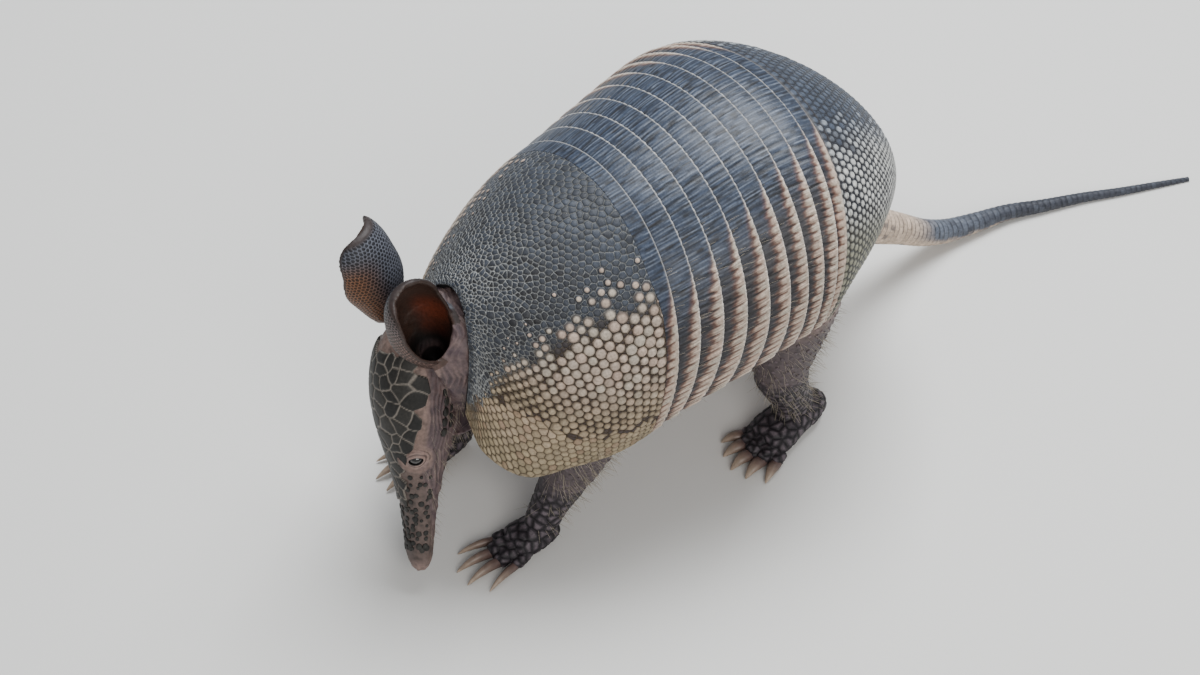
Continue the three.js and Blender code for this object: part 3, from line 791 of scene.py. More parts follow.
def pelvic_shield():
    """The pelvic shield, with teeth along its front, dark scutes on its back and pearls on its flanks."""
    start = SHIELD_END + BAND_COUNT * BAND_PITCH
    S, t = grid(start - TUCK, TAIL_NOTCH, 205, 433)
    x = S - start
    lattice = Lattice(S, t, 66)
    p = face_point(S, t)
    a = lattice.a + 0.12 * noise(p, 14, 3)
    b = lattice.b + 0.12 * noise(p, 14, 4)
    side = np.abs(t)
    low = ramp(side, 0.5, 0.68)
    pearl_from = pearls_from(S)
    flank = ramp(side, pearl_from - 0.08, pearl_from + 0.1)
    size = (0.4 * (1 - flank) + 0.47 * flank) * (1 - low) + 0.52 * low
    edge, big, random, _, at_b = scutes(a, b, size, 0.08)
    # e is the distance to a scute's border in mm, and a scute is a pearl or not by its own middle's place.
    e = edge * lattice.pitch
    own_side = np.abs(lattice.own_t(at_b))
    pearl = ramp(own_side + 0.18 * (random[..., 3] - 0.5), pearl_from - 0.02, pearl_from + 0.06) * (big > 0.5)
    height = dome(e, 1.0) * (0.3 + 0.24 * pearl) * np.where(big > 0.5, 1, 0.6)
    cell = mix(BLACKISH, SLATE, 0.25 + 0.4 * random[..., 0] + 0.3 * ramp(e, 0.2, 0.9))
    ripe = mix(SLATE_PALE * 0.75, PEARL, ramp(own_side, pearl_from - 0.02, pearl_from + 0.16))
    ripe = mix(ripe, LICHEN, low * 0.85)
    ripe = ripe * (0.88 + 0.24 * random[..., 2:3])
    tone = mix(mix(cell, BROWN_DARK, 0.35 * flank), ripe, pearl * ramp(e, 0.3, 0.75))
    tone = mix(tone, mix(BLACKISH, LICHEN, 0.3 * low), (1 - ramp(e, 0.1, 0.4)) * 0.8)
    # Teeth along the front, and two furrows behind them.
    tooth_height, tooth_tone = teeth(np.maximum(7.4 - x, 0), t, start + 9, 10)
    starting = 1 - ramp(x, 6.9, 7.7)
    furrow = hump(x - 10.6, 0.35) + hump(x - 7.5, 0.3)
    height = height * (1 - starting) + (tooth_height + 0.1) * starting - 0.25 * furrow
    tone = mix(mix(tone, tooth_tone, starting), BROWN_DARK, 0.5 * furrow)
    # Painted shade: the front, tucked under the band ahead, is darkened toward black.
    tone = mix(tone, BLACKISH, 0.6 * (1 - ramp(x, -0.6, 1.2)))
    sunk = BAND_STEP * (1 - np.clip(x / BAND_PITCH, -0.2, 1))
    tone = mix(tone, PEARL, 0.35 * ramp(S, TAIL_NOTCH - 1.6, TAIL_NOTCH))
    shell_piece("pelvic_shield", S, t, height - sunk, tone, SHIELD_HORN, np.full(S.shape, PLATE))


# Flesh. Smooth closed bodies, overlapping, that become one skin; grow is how far they stand out.
HEAD_AT = np.array([-8.6, -118.6 + SHIFT_Y, 98.5])
HEAD_ALONG = unit(np.array([0.316, -0.242, -0.918]))
HEAD_LEFT = np.array([0.931, -0.109, 0.349])
HEAD_LEFT = unit(HEAD_LEFT - HEAD_ALONG * (HEAD_LEFT @ HEAD_ALONG))
HEAD_UP = np.cross(HEAD_ALONG, HEAD_LEFT)
HEAD_U = [-13, -9, -3, 5, 16, 28, 40, 52, 66, 80, 90, 95]
head_width = through(HEAD_U, [5, 10.5, 14, 15.6, 16.4, 15.6, 13.8, 11, 8.4, 6.8, 6.2, 4.2])
head_top = through(HEAD_U, [5, 11, 15.4, 17.6, 18.2, 16.6, 13.6, 10.4, 7.8, 6.4, 5.6, 3.8])
head_below = through(HEAD_U, [5, 9.5, 12.5, 14, 15, 14.8, 13, 10, 7.6, 5.8, 4.8, 3.2])
EYE_U = 40
EYE_RADIUS = 3.6
EAR_LENGTH = 43.5
EAR_SKIN = 1.3
EAR_BEND = 3
EAR_U = [0, 0.2, 0.45, 0.7, 0.8, 0.88, 0.94, 0.98, 1]
ear_radius = through(EAR_U, [5.3, 8.8, 12.3, 12.2, 11.8, 11, 10, 9, 7.6])
ear_curl = through(EAR_U, [160, 150, 119, 99, 96, 91, 82, 70, 46])
BELLY_S = [0, 40, 90, 140, 190, 258]
belly_bulge = through(BELLY_S, [8, 10, 20, 18, 8, 3])
# Stations are [x, y, z, radius across, radius upright], those of the limbs for the left side; a toe is
# [x, y] at its root, [x, y] near its end, and its radius.
NECK = [[0, -80, 90, 42, 36], [-1, -91, 91, 33, 36], [-3, -102, 92, 26.5, 36], [-4.5, -107, 92, 23.5, 33.5],
        [-6, -112, 90, 19.5, 28], [-7, -117, 89, 14, 22]]
HIND_LEG = [[34, 36, 96, 21, 23], [39, 31, 76, 20, 21], [43.5, 25, 58, 15, 16.5], [46, 22, 43, 10.8, 12.2],
            [46.2, 26, 29, 8.2, 9.4], [45.6, 31, 17, 7, 8.4], [45.2, 34, 9, 6, 7]]
HIND_FOOT = [[44.4, 46, 6.5, 5, 5], [44.7, 41, 7.5, 7.5, 8], [45.2, 33, 7.8, 8.8, 8.8],
             [46.4, 25, 7.4, 9.8, 8], [47.8, 17.5, 6.4, 10.6, 6.8], [48.7, 12, 5.2, 9.8, 5.6]]
FORE_LEG = [[33, -66, 88, 20, 20], [36, -70, 70, 17, 17], [37, -74, 52, 13, 13], [35, -80, 36, 9.5, 10],
            [33, -86, 22, 7.5, 8], [32, -90, 12, 6.8, 7], [31.6, -92, 8, 5.5, 6]]
FORE_FOOT = [[31.5, -84, 6, 5.5, 5.5], [31.5, -89, 6.6, 7.4, 7], [31, -97, 6, 8.6, 6.4],
             [30.5, -104, 5.2, 8.8, 5.6]]
HIND_TOES = [[41.2, 15.5, 38.8, 9.5, 3.1], [44.6, 14, 43.4, 6, 3.7], [48.8, 13.5, 49.2, 4.2, 3.9],
             [53, 14, 54.8, 6, 3.6], [56.6, 16, 59.4, 10.5, 3]]
FORE_TOES = [[24.5, -101, 22.6, -108, 2.9], [28.6, -103, 27.6, -113, 3.7], [33, -103, 33.4, -113, 3.6],
             [37, -101, 38.6, -108, 2.8]]
HIND_CLAW = 9.5
FORE_CLAW = 15
CLAW_RADIUS = 2.1
TAIL_PATH = np.array([[0, 64, 82], [0, 88, 58], [0, 110, 38], [0, 127, 25], [0.5, 142, 14], [1.5, 156, 7.5],
                      [3.5, 171, 5.2], [6.5, 189, 3.8], [12, 205, 2.85], [18.5, 224, 2.2], [25.5, 241, 1.7],
                      [32, 258, 1.3], [38, 274, 0.8]]) + [0, SHIFT_Y, 0]
TAIL_RADIUS = [14, 12.5, 10.6, 8.4, 6.9, 5.9, 5, 4, 3.1, 2.4, 1.9, 1.45, 0.9]
BODY_VOXEL = 1.2
HEAD_VOXEL = 0.46
FOOT_VOXEL = 0.52
SKIN_DEPTH = 0.45  # how far the skin lies inside the solids, under its scales and hair
LEFT = 1
RIGHT = -1
SIDE_NAME = {LEFT: "left", RIGHT: "right"}


def in_head(along, left, up):
    """The point so far along the head, to its left and above its axis."""
    along, left, up = (np.asarray(x, float)[..., None] for x in (along, left, up))
    return HEAD_AT + HEAD_ALONG * along + HEAD_LEFT * left + HEAD_UP * up


def head_place(p):
    """How far points are along the head, to its left, and above its axis."""
    q = p - HEAD_AT
    return q @ HEAD_ALONG, q @ HEAD_LEFT, q @ HEAD_UP


def head_point(along, angle, grow=0):
    """A point of the head; the angle runs from the top, positive toward the left."""
    c = np.cos(angle)
    share = 0.5 + 0.5 * np.clip(c / 0.25, -1, 1)
    height = head_top(along) * share + head_below(along) * (1 - share)
    return in_head(along, (head_width(along) + grow) * np.sin(angle), (height + grow) * c)


class Ear:
    """A scoop that is nearly a tube at its foot and opens toward the tip."""

    def __init__(self, foot, along, opening):
        self.foot = foot
        self.axis = unit(np.array(along))
        opening = np.array(opening)
        self.front = unit(opening - self.axis * (opening @ self.axis))
        self.side = np.cross(self.axis, self.front)

    def point(self, u, v, grow=0.0):
        u, v = np.broadcast_arrays(u, v)
        a = (2 * v - 1) * np.deg2rad(ear_curl(u))
        r = ear_radius(u) + grow
        forward = EAR_BEND - r * np.cos(a) - EAR_BEND * u * (1 - u)
        up = EAR_LENGTH * u + grow * u
        return self.foot + self.axis * up[..., None] + self.side * (r * np.sin(a))[..., None] \
            + self.front * forward[..., None]

    def place(self, p):
        """How far up the ear, the angle round it, and how far out from its wall's middle."""
        q = p - self.foot
        u = q @ self.axis / EAR_LENGTH
        x = q @ self.side
        y = EAR_BEND - EAR_BEND * u * (1 - u) - q @ self.front
        return u, np.arctan2(x, y), np.hypot(x, y) - ear_radius(u)


EARS = {
    LEFT: Ear(in_head(-2.4, 8.2, -0.6), [0.15, -0.22, 0.96], [0.82, 0.23, 0.52]),
    RIGHT: Ear(in_head(-11.1, -13.1, 3.2), [-0.26, -0.19, 0.95], [-0.82, -0.54, -0.21]),
}


def loft(rings):
    """A closed body through rings (count, sides, 3): its points and faces."""
    count, sides = rings.shape[:2]
    at = np.arange(count * sides).reshape(count, sides)
    after = np.roll(at, -1, 1)
    quads = np.stack([at[:-1], after[:-1], after[1:], at[1:]], -1).reshape(-1, 4)
    return rings.reshape(-1, 3), [quads, at[:1, ::-1], at[-1:]]


def sweep(stations, across, steps=40, sides=32, grow=0.0, floor=None, blunt=0.0):
    """A body along a path of stations [x, y, z, radius across, radius upright]; blunt rounds its far end."""
    stations = np.array(stations, float)
    knots = np.concatenate([[0], np.cumsum(np.linalg.norm(np.diff(stations[:, :3], axis=0), axis=1))])
    at = np.linspace(0, knots[-1], steps)
    path = np.stack([through(knots, stations[:, k])(at) for k in range(5)], 1)
    ahead = unit(np.gradient(path[:, :3], at, axis=0))
    up = unit(np.cross(np.asarray(across, float), ahead))
    side = np.cross(ahead, up)
    taper = np.ones(steps)
    if blunt:
        taper = np.sqrt(np.clip(1 - np.clip((at - knots[-1] + blunt) / blunt, 0, 0.97) ** 2, 0, 1))
    angle = -2 * np.pi * (np.arange(sides) + 0.5) / sides
    wide = ((path[:, 3] + grow) * taper)[:, None, None]
    tall = ((path[:, 4] + grow) * taper)[:, None, None]
    rings = path[:, None, :3] + side[:, None] * np.cos(angle)[None, :, None] * wide \
        + up[:, None] * np.sin(angle)[None, :, None] * tall
    if floor is not None:
        rings[..., 2] = np.maximum(rings[..., 2], floor)
    return loft(rings)


def placed(stations, side):
    """Stations of the left side in the part's frame, on the side given."""
    return [[side * s[0], s[1] + SHIFT_Y, *s[2:]] for s in stations]


def trunk_body(grow):
    """The flesh inside the shell, with the belly bulging down between its margins."""
    S = np.linspace(23, TAIL_NOTCH - 7, 60)[:, None]
    t = 0.95 * np.linspace(-1, 1, 61)[None]
    depth = PLATE + BAND_STEP + 0.5 - grow
    arc = face_point(S, t) - face_normal(S, t) * depth
    right = arc[:, :1]
    left = arc[:, -1:]
    tilt = section_tilt(S, S)
    down = np.stack([0 * tilt, np.sin(tilt), -np.cos(tilt)], -1)
    a = np.linspace(0, np.pi, 26)[None, 1:-1, None]
    deep = down * (belly_bulge(S)[..., None] + grow)
    belly = (left + right) / 2 + (left - right) * np.cos(a) / 2 + deep * np.sin(a)
    return loft(np.concatenate([arc, belly], 1)[:, ::-1])


def head_body(grow):
    """The head without its ears."""
    u = np.linspace(HEAD_U[0] - grow, HEAD_U[-1] + grow, 60)
    u = np.concatenate([u[:1] - 0.6, u, u[-1:] + 0.9])
    angle = -2 * np.pi * np.arange(48) / 48
    shrink = np.ones(len(u))
    shrink[[0, -1]] = (0.5, 0.62)
    rings = head_point(u[:, None], angle[None], grow)
    middle = in_head(u, 0, 0)[:, None]
    return loft(middle + (rings - middle) * shrink[:, None, None])


def ear_body(ear, grow):
    """The wall of an ear."""
    u, v = np.meshgrid(np.linspace(0, 1, 60), np.linspace(0, 1, 70), indexing="ij")
    half = EAR_SKIN / 2 + grow
    outer = ear.point(u, 1 - v, half)
    inner = ear.point(u, 1 - v, -half)
    rings = np.concatenate([outer, inner[:, ::-1]], 1)
    return loft(rings)


def canal_body(ear):
    """The hollow of an ear's foot."""
    u = np.linspace(-0.13, 0.5, 24)[:, None]
    angle = np.linspace(0, 2 * np.pi, 48, endpoint=False)[None]
    up = np.maximum(u, 0)
    narrow = np.sqrt(np.clip((u + 0.135) / 0.13, 0, 1))
    r = (ear_radius(up) - EAR_SKIN / 2 - 0.2) * narrow
    forward = EAR_BEND - r * np.cos(angle) - EAR_BEND * up * (1 - up)
    rings = ear.foot + ear.axis * (EAR_LENGTH * u + 0 * angle)[..., None] \
        - ear.side * (r * np.sin(angle))[..., None] + ear.front * forward[..., None]
    return loft(rings)


def toe_stations(toe, side):
    """Stations along a toe, arched in its middle."""
    x0, y0, x1, y1, r = toe
    y0 += SHIFT_Y
    y1 += SHIFT_Y
    middle = [(x0 + x1) / 2, (y0 + y1) / 2, r + 0.8, r, r]
    stations = [[x0, y0, r + 1.2, r, r], middle, [x1, y1, r, r * 0.86, r * 0.86]]
    return [[side * s[0], *s[1:]] for s in stations]


def foot_bodies(foot, toes, side, grow, floor):
    """A foot and its toes, nowhere lower than the floor."""
    across = [side, 0, 0]
    bodies = [sweep(placed(foot, side), across, grow=grow, floor=floor, blunt=3)]
    for toe in toes:
        bodies.append(sweep(toe_stations(toe, side), across, 16, 20, grow, floor, blunt=1.6))
    return bodies


def smooth_path(points, steps=24):
    """A centripetal curve through the points, the same as the part's tail."""
    p = np.concatenate([[2 * points[0] - points[1]], points, [2 * points[-1] - points[-2]]])
    out = []
    for i in range(1, len(p) - 2):
        d0, d1, d2 = (np.sqrt(np.linalg.norm(p[i + k] - p[i + k - 1])) for k in (0, 1, 2))
        first = ((p[i] - p[i - 1]) / d0 - (p[i + 1] - p[i - 1]) / (d0 + d1) + (p[i + 1] - p[i]) / d1) * d1
        last = ((p[i + 1] - p[i]) / d1 - (p[i + 2] - p[i]) / (d1 + d2) + (p[i + 2] - p[i + 1]) / d2) * d1
        t = np.linspace(0, 1, steps, endpoint=i == len(p) - 3)[:, None]
        out.append((2 * t**3 - 3 * t**2 + 1) * p[i] + (t**3 - 2 * t**2 + t) * first
                   + (3 * t**2 - 2 * t**3) * p[i + 1] + (t**3 - t**2) * last)
    return np.concatenate(out)


class Tail:
    """The tail as a line with a radius along it."""

    def __init__(self):
        self.line = smooth_path(TAIL_PATH)
        self.run = np.concatenate([[0], np.cumsum(np.linalg.norm(np.diff(self.line, axis=0), axis=1))])
        self.length = self.run[-1]
        self.radius = through(np.linspace(0, 1, len(TAIL_RADIUS)), TAIL_RADIUS)

    def frame(self, along):
        """The middle at a distance along the tail, and the ways to its side and up."""
        middle = np.stack([np.interp(along, self.run, self.line[:, k]) for k in range(3)], -1)
        step = 0.5
        ends = [np.stack([np.interp(np.clip(along + d, 0, self.length), self.run, self.line[:, k])
                          for k in range(3)], -1) for d in (-step, step)]
        ahead = unit(ends[1] - ends[0])
        up = unit(np.cross(np.broadcast_to([1.0, 0, 0], ahead.shape), ahead))
        return middle, np.cross(ahead, up), up

    def point(self, along, angle, grow=0.0):
        """The angle runs from the top toward the left."""
        middle, side, up = self.frame(along)
        r = (self.radius(along / self.length) + grow)[..., None]
        return middle + side * r * -np.sin(angle)[..., None] + up * r * np.cos(angle)[..., None]


TAIL = Tail()


def tail_body(grow, floor):
    """The tail's flesh, flattened where it lies on the floor."""
    around = -2 * np.pi * np.arange(24) / 24
    along, angle = np.meshgrid(np.linspace(0, TAIL.length, 160), around, indexing="ij")
    rings = TAIL.point(along, angle, grow)
    rings[..., 2] = np.maximum(rings[..., 2], floor)
    return loft(rings)


class Surface:
    """A mesh as arrays: points in millimetres, faces by their number of corners, and edges."""

    def __init__(self, points, faces):
        self.points = points
        self.faces = [f for f in faces if len(f)]
        pairs = np.concatenate([np.stack([f, np.roll(f, -1, 1)], -1).reshape(-1, 2) for f in self.faces])
        self.edges = np.unique(np.sort(pairs, 1), axis=0)

    def spread(self, value):
        """The mean of each point's neighbours."""
        a, b = self.edges.T
        total = np.zeros_like(value)
        count = np.bincount(self.edges.ravel(), minlength=len(value))
        for k in range(value.shape[1]):
            column = value[:, k]
            total[:, k] = np.bincount(a, column[b], len(value)) + np.bincount(b, column[a], len(value))
        return total / np.maximum(count, 1)[:, None]

    def relax(self, rounds, share=1.0):
        """Smooths without shrinking; share may be a number for each point."""
        share = np.broadcast_to(share, (len(self.points),))[:, None]
        for _ in range(rounds):
            for step in (0.5, -0.52):
                self.points = self.points + step * share * (self.spread(self.points) - self.points)
        return self

    def normals(self):
        """The outward normal at each point."""
        normal = np.zeros_like(self.points)
        for f in self.faces:
            p = self.points[f]
            across = np.cross(p[:, 2] - p[:, 0], p[:, -1] - p[:, 1])
            for corner in range(f.shape[1]):
                for k in range(3):
                    normal[:, k] += np.bincount(f[:, corner], across[:, k], len(normal))
        return unit(normal)

    def tree(self):
        flat = [tuple(row) for f in self.faces for row in f.tolist()]
        return BVHTree.FromPolygons(self.points.tolist(), flat)


def joined(bodies):
    """The points and faces of several bodies as one."""
    points = np.concatenate([b[0] for b in bodies])
    starts = np.concatenate([[0], np.cumsum([len(b[0]) for b in bodies])])
    faces = {}
    for (_, parts), start in zip(bodies, starts):
        for f in parts:
            faces.setdefault(f.shape[1], []).append(f + start)
    return points, [np.concatenate(f) for f in faces.values()]


def mesh_surface(mesh):
    """A Blender mesh as a Surface."""
    points = np.empty(len(mesh.vertices) * 3, np.float32)
    mesh.vertices.foreach_get("co", points)
    corners = np.empty(len(mesh.loops), np.int32)
    mesh.loops.foreach_get("vertex_index", corners)
    start = np.empty(len(mesh.polygons), np.int32)
    total = np.empty(len(mesh.polygons), np.int32)
    mesh.polygons.foreach_get("loop_start", start)
    mesh.polygons.foreach_get("loop_total", total)
    faces = [corners[start[total == n][:, None] + np.arange(n)] for n in np.unique(total)]
    return Surface(points.reshape(-1, 3).astype(float) / MM, faces)


def discard(piece):
    """Removes an object and its mesh."""
    mesh = piece.data
    bpy.data.objects.remove(piece)
    bpy.data.meshes.remove(mesh)


def changed(surface, kind, **settings):
    """The surface after one modifier."""
    piece = new_piece("rough", surface.points, surface.faces)
    modifier = piece.modifiers.new(kind, kind)
    for key, value in settings.items():
        setattr(modifier, key, value)
    evaluated = piece.evaluated_get(bpy.context.evaluated_depsgraph_get())
    out = mesh_surface(evaluated.to_mesh())
    evaluated.to_mesh_clear()
    discard(piece)
    return out


def fused(bodies, voxel, pits=()):
    """One closed surface round bodies that overlap, less the pits."""
    surface = changed(Surface(*joined(bodies)), "REMESH", mode="VOXEL", voxel_size=voxel * MM)
    for pit in pits:
        tool = new_piece("pit", *pit)
        surface = changed(surface, "BOOLEAN", operation="DIFFERENCE", solver="EXACT", object=tool)
        discard(tool)
    return changed(surface, "REMESH", mode="VOXEL", voxel_size=voxel * MM) if pits else surface


# Skin: the body in one surface, the head with its ears and the front of the neck in a finer one, and the
# lids of the eyes.
SKIN_CHEEK = colour(112, 92, 84)
SKIN_SNOUT = colour(78, 66, 62)
SKIN_NECK = colour(88, 72, 74)
SKIN_PALE = colour(150, 126, 118)
SKIN_BELLY = colour(134, 112, 100)
SKIN_LEG = colour(66, 58, 62)
EAR_BROWN = colour(52, 34, 26)
EAR_GLOW = colour(96, 42, 24)
EAR_PURPLE = colour(84, 66, 62)
EAR_BLACK = colour(12, 9, 9)
EAR_GREY = colour(64, 66, 74)
EAR_ORANGE = colour(88, 55, 32)
NECK_SEAM_Y = -100 + SHIFT_Y
WRINKLE = 2.3
LID_REACH = 7.6
LID_ROWS = 26
LID_STEPS = 96
LID_TILT = 0.18
# The folds round the slit: height, distance from the slit, and width.
LID_FOLDS = ((0.24, 0.35, 0.3), (0.3, 1.75, 0.4), (0.22, 3.1, 0.5), (-0.2, 1.05, 0.3), (-0.16, 2.45, 0.35))
EYE_LEFT = 11.2
EYE_UP = 5.6

SKIN = painted("skin", 0.55, 0.0012, 0.00012, mottle=0.22)


def body_skin():
    """Trunk, rear of the neck, limbs and tail, wrinkled."""
    neck = placed([*NECK[:2], [-2.6, -99, 91.7, 27, 35]], LEFT)
    neck = sweep(neck, [1, 0, 0], grow=-SKIN_DEPTH - 0.5, blunt=2)
    bodies = [trunk_body(-SKIN_DEPTH), tail_body(-SKIN_DEPTH - 0.4, 0.6), neck]
    for side in (LEFT, RIGHT):
        for leg in (HIND_LEG, FORE_LEG):
            bodies.append(sweep(placed(leg, side), [side, 0, 0], grow=-SKIN_DEPTH, floor=1))
        bodies += foot_bodies(HIND_FOOT, HIND_TOES, side, -0.9, 0.7)
        bodies += foot_bodies(FORE_FOOT, FORE_TOES, side, -0.9, 0.7)
    skin = fused(bodies, BODY_VOXEL).relax(8)
    p = skin.points
    rows = np.cos(2 * np.pi * (p[:, 1] + 2 * noise(p, 9, 5)) / 6.5)
    lift = 0.25 * noise(p, 3.2, 6) + 0.22 * rows * noise(p, 5, 7) + 0.12 * noise(p, 1.5, 8)
    skin.points = p + skin.normals() * (lift * ramp(p[:, 2], 6, 14))[:, None]
    return skin


def body_tone(p):
    """Pale on the belly and dark on the legs, with darker spots."""
    leg = np.maximum(ramp(p[:, 2], 66, 48), ramp(np.abs(p[:, 0]), 26, 36) * ramp(p[:, 2], 84, 66))
    tone = mix(SKIN_BELLY, SKIN_PALE, 0.4 + 0.4 * noise(p, 8, 9))
    tone = mix(tone, SKIN_LEG, leg * 0.92)
    return mix(tone, tone * 0.6, ramp(noise(p, 1.8, 10), 0.1, 0.7))


def ahead_of_shell(p):
    """How far in front of the shoulder shield's margin."""
    return -169.6 - 0.304 * np.minimum(132.1 - p[:, 2], 70) - p[:, 1]


def neck_share(p):
    """1 on the folded neck, 0 on the head."""
    return ramp(ahead_of_shell(p), 9.5, 6)


def neck_fold(p):
    """From 1 on the ridges of the neck's folds to -1 in their creases."""
    wander = 3.0 * noise(p, 9, 11) + 1.0 * noise(p, 3.2, 31)
    return np.cos(2 * np.pi * (ahead_of_shell(p) + wander) / WRINKLE)


def canal_share(p):
    """1 inside the canals at the feet of the ears."""
    share = np.zeros(len(p))
    for ear in EARS.values():
        u, _, out = ear.place(p)
        share = np.maximum(share, ramp(-out, 0.5, 1.2) * ramp(u, 0.34, 0.18) * ramp(u, -0.6, -0.5))
    return share


def on_ear(u, angle, out):
    """Whether a place by an ear is on its wall."""
    return (np.abs(out) < 2.4) & (np.abs(angle) < np.deg2rad(ear_curl(u) + 14)) & (u < 1.1)


def ear_share(p):
    """1 on the ears, 0 on the head."""
    share = np.zeros(len(p))
    for ear in EARS.values():
        u, angle, out = ear.place(p)
        share = np.maximum(share, ramp(u, 0.02, 0.16) * on_ear(u, angle, out))
    return share


def from_nostril(p, side):
    """How far points are from the nostril on a side."""
    return np.linalg.norm(p - in_head(95.6, side * 2.5, 0.4), axis=1)


def head_skin():
    """Head, ears and the front of the neck, with its folds, mouth and nostrils."""
    front = [[x, y, z, a + 0.3, b + 0.3] for x, y, z, a, b in NECK]
    neck_from = through([s[1] for s in front][::-1], [s[3] for s in front][::-1])
    tall_from = through([s[1] for s in front][::-1], [s[4] for s in front][::-1])
    start = [-3.6, NECK_SEAM_Y - SHIFT_Y, 90, neck_from(-100.0), tall_from(-100.0)]
    bodies = [head_body(-0.25), sweep(placed([start, *front[2:]], LEFT), [1, 0, 0], grow=-0.2, blunt=3)]
    bodies += [ear_body(ear, 0) for ear in EARS.values()]
    skin = fused(bodies, HEAD_VOXEL, [canal_body(ear) for ear in EARS.values()]).relax(7)
    p = skin.points
    normal = skin.normals()
    u, left, up = head_place(p)
    width = head_width(u)
    angle = np.abs(np.arctan2(left / width, up / head_top(u)))
    ear = ear_share(p)
    neck = neck_share(p) * (1 - ear)
    lift = neck * (0.3 * neck_fold(p) * (0.6 + 0.6 * noise(p, 6, 32)) + 0.3 * noise(p, 3, 12))
    bare = (1 - ear) * (1 - neck)
    lift += bare * (0.16 * noise(p, 1.6, 13) + 0.12 * noise(p, 3.5, 14))
    mouth = hump((angle - 1.98) * width, 0.55) * ramp(u, 58, 66) * ramp(u, 97, 93)
    lift -= 0.55 * mouth * bare
    for side in (LEFT, RIGHT):
        nostril = from_nostril(p, side)
        lift -= 1.5 * hump(nostril, 1.0)
        lift += 0.35 * hump(nostril - 1.7, 0.6)
    cheek = hump(angle - 1.75, 0.35) * ramp(u, 10, 24) * ramp(u, 52, 40)
    lift += 0.5 * cheek * bare * noise(p, 5, 15)
    lift += ear * 0.07 * noise(p, 1.1, 16)
    lift *= 1 - canal_share(p)
    skin.points = p + normal * lift[:, None]
    return skin


def ear_tone(p, side):
    """Brown within with a glow toward the rear, greyer behind, and a dark rim."""
    u, angle, out = EARS[side].place(p)
    rear = side * np.rad2deg(angle)
    within = mix(EAR_BROWN, EAR_PURPLE, ramp(-rear, 35, 95) * ramp(u, 0.75, 0.35))
    within = mix(within, EAR_GLOW, 0.85 * ramp(rear, 25, 60) * ramp(rear, 150, 95) * ramp(u, 0.7, 0.4))
    within = mix(within, EAR_BROWN * 0.7, 0.5 * ramp(noise(p, 6, 17), 0, 0.8))
    # Painted shade: deep in the funnel, toward the ear's foot, the inside goes black.
    within = mix(within, EAR_BLACK, ramp(u, 0.24, 0.08))
    behind = mix(EAR_GREY, EAR_ORANGE, ramp(-rear, 15, 75) * ramp(u, 0.9, 0.65))
    if side == LEFT:
        behind = mix(behind, EAR_PURPLE * 0.8, 0.8 * ramp(-rear, 10, 60))
    tone = mix(within, behind, ramp(out, 0.1, 0.45))
    rim = np.maximum(ramp(np.abs(np.rad2deg(angle)), ear_curl(u) - 9, ear_curl(u) - 1), ramp(u, 0.95, 0.99))
    return mix(tone, EAR_BROWN * 0.6, 0.85 * rim * ramp(u, 0.12, 0.3))


def head_tone(p):
    """The colours of head, ears and the front of the neck."""
    u, left, up = head_place(p)
    angle = np.abs(np.arctan2(left, up))
    tone = mix(SKIN_CHEEK, SKIN_SNOUT, ramp(u, 30, 62) * 0.8 + 0.2 * ramp(angle, 1.2, 0.6))
    tone = mix(tone, SKIN_PALE, 0.55 * hump(angle - 1.5, 0.3) * ramp(u, 34, 14))
    tone = mix(tone, SKIN_PALE, 0.5 * ramp(u, 88, 94))
    tone = mix(tone, tone * 0.55, 0.8 * ramp(noise(p, 1.7, 18), 0.15, 0.65))
    neck = neck_share(p)
    fold = neck_fold(p) * (0.6 + 0.6 * noise(p, 6, 32))
    # Painted light and shade on the folds: paler on their ridges and darkened in their creases, over the
    # skin's own mottling.
    folded = mix(SKIN_NECK, SKIN_PALE, 0.25 * ramp(fold, 0.1, 0.9) + 0.25 * noise(p, 3, 19) + 0.05)
    folded = mix(folded, SKIN_NECK * 0.4, 0.6 * ramp(fold, -0.3, -0.95)) * 0.85
    tone = mix(tone, folded, neck)
    for side in (LEFT, RIGHT):
        from_eye = np.linalg.norm(p - eye_centre(side), axis=1)
        tone = mix(tone, SKIN_PALE * 0.9, 0.45 * ramp(from_eye, 8, 5.5))
        tone = mix(tone, SKIN_SNOUT * 0.35, ramp(from_eye, 4.9, 4.0))
        # Painted shade: the nostrils' pits are painted black.
        tone = mix(tone, EAR_BLACK, ramp(from_nostril(p, side), 1.5, 0.9))
    for side, ear in EARS.items():
        place = ear.place(p)
        tone = mix(tone, ear_tone(p, side), ramp(place[0], 0.0, 0.1) * on_ear(*place))
    # Painted shade: the canals at the ears' feet are painted near black.
    return mix(tone, EAR_BLACK, 0.95 * canal_share(p))


def eye_centre(side):
    """The middle of an eyeball."""
    return in_head(EYE_U, side * EYE_LEFT, EYE_UP)


def eye_axes(side):
    """Out of the socket, round the head, and along the head."""
    out = unit(HEAD_LEFT * side * EYE_LEFT / head_width(EYE_U) ** 2 + HEAD_UP * EYE_UP / head_top(EYE_U) ** 2)
    return out, unit(np.cross(HEAD_ALONG, out)) * side, HEAD_ALONG


def slit_radius(phi):
    """How far the slit between the lids reaches at an angle round the eye."""
    return 1 / np.hypot(np.cos(phi - LID_TILT) / 2.9, np.sin(phi - LID_TILT) / 1.55)


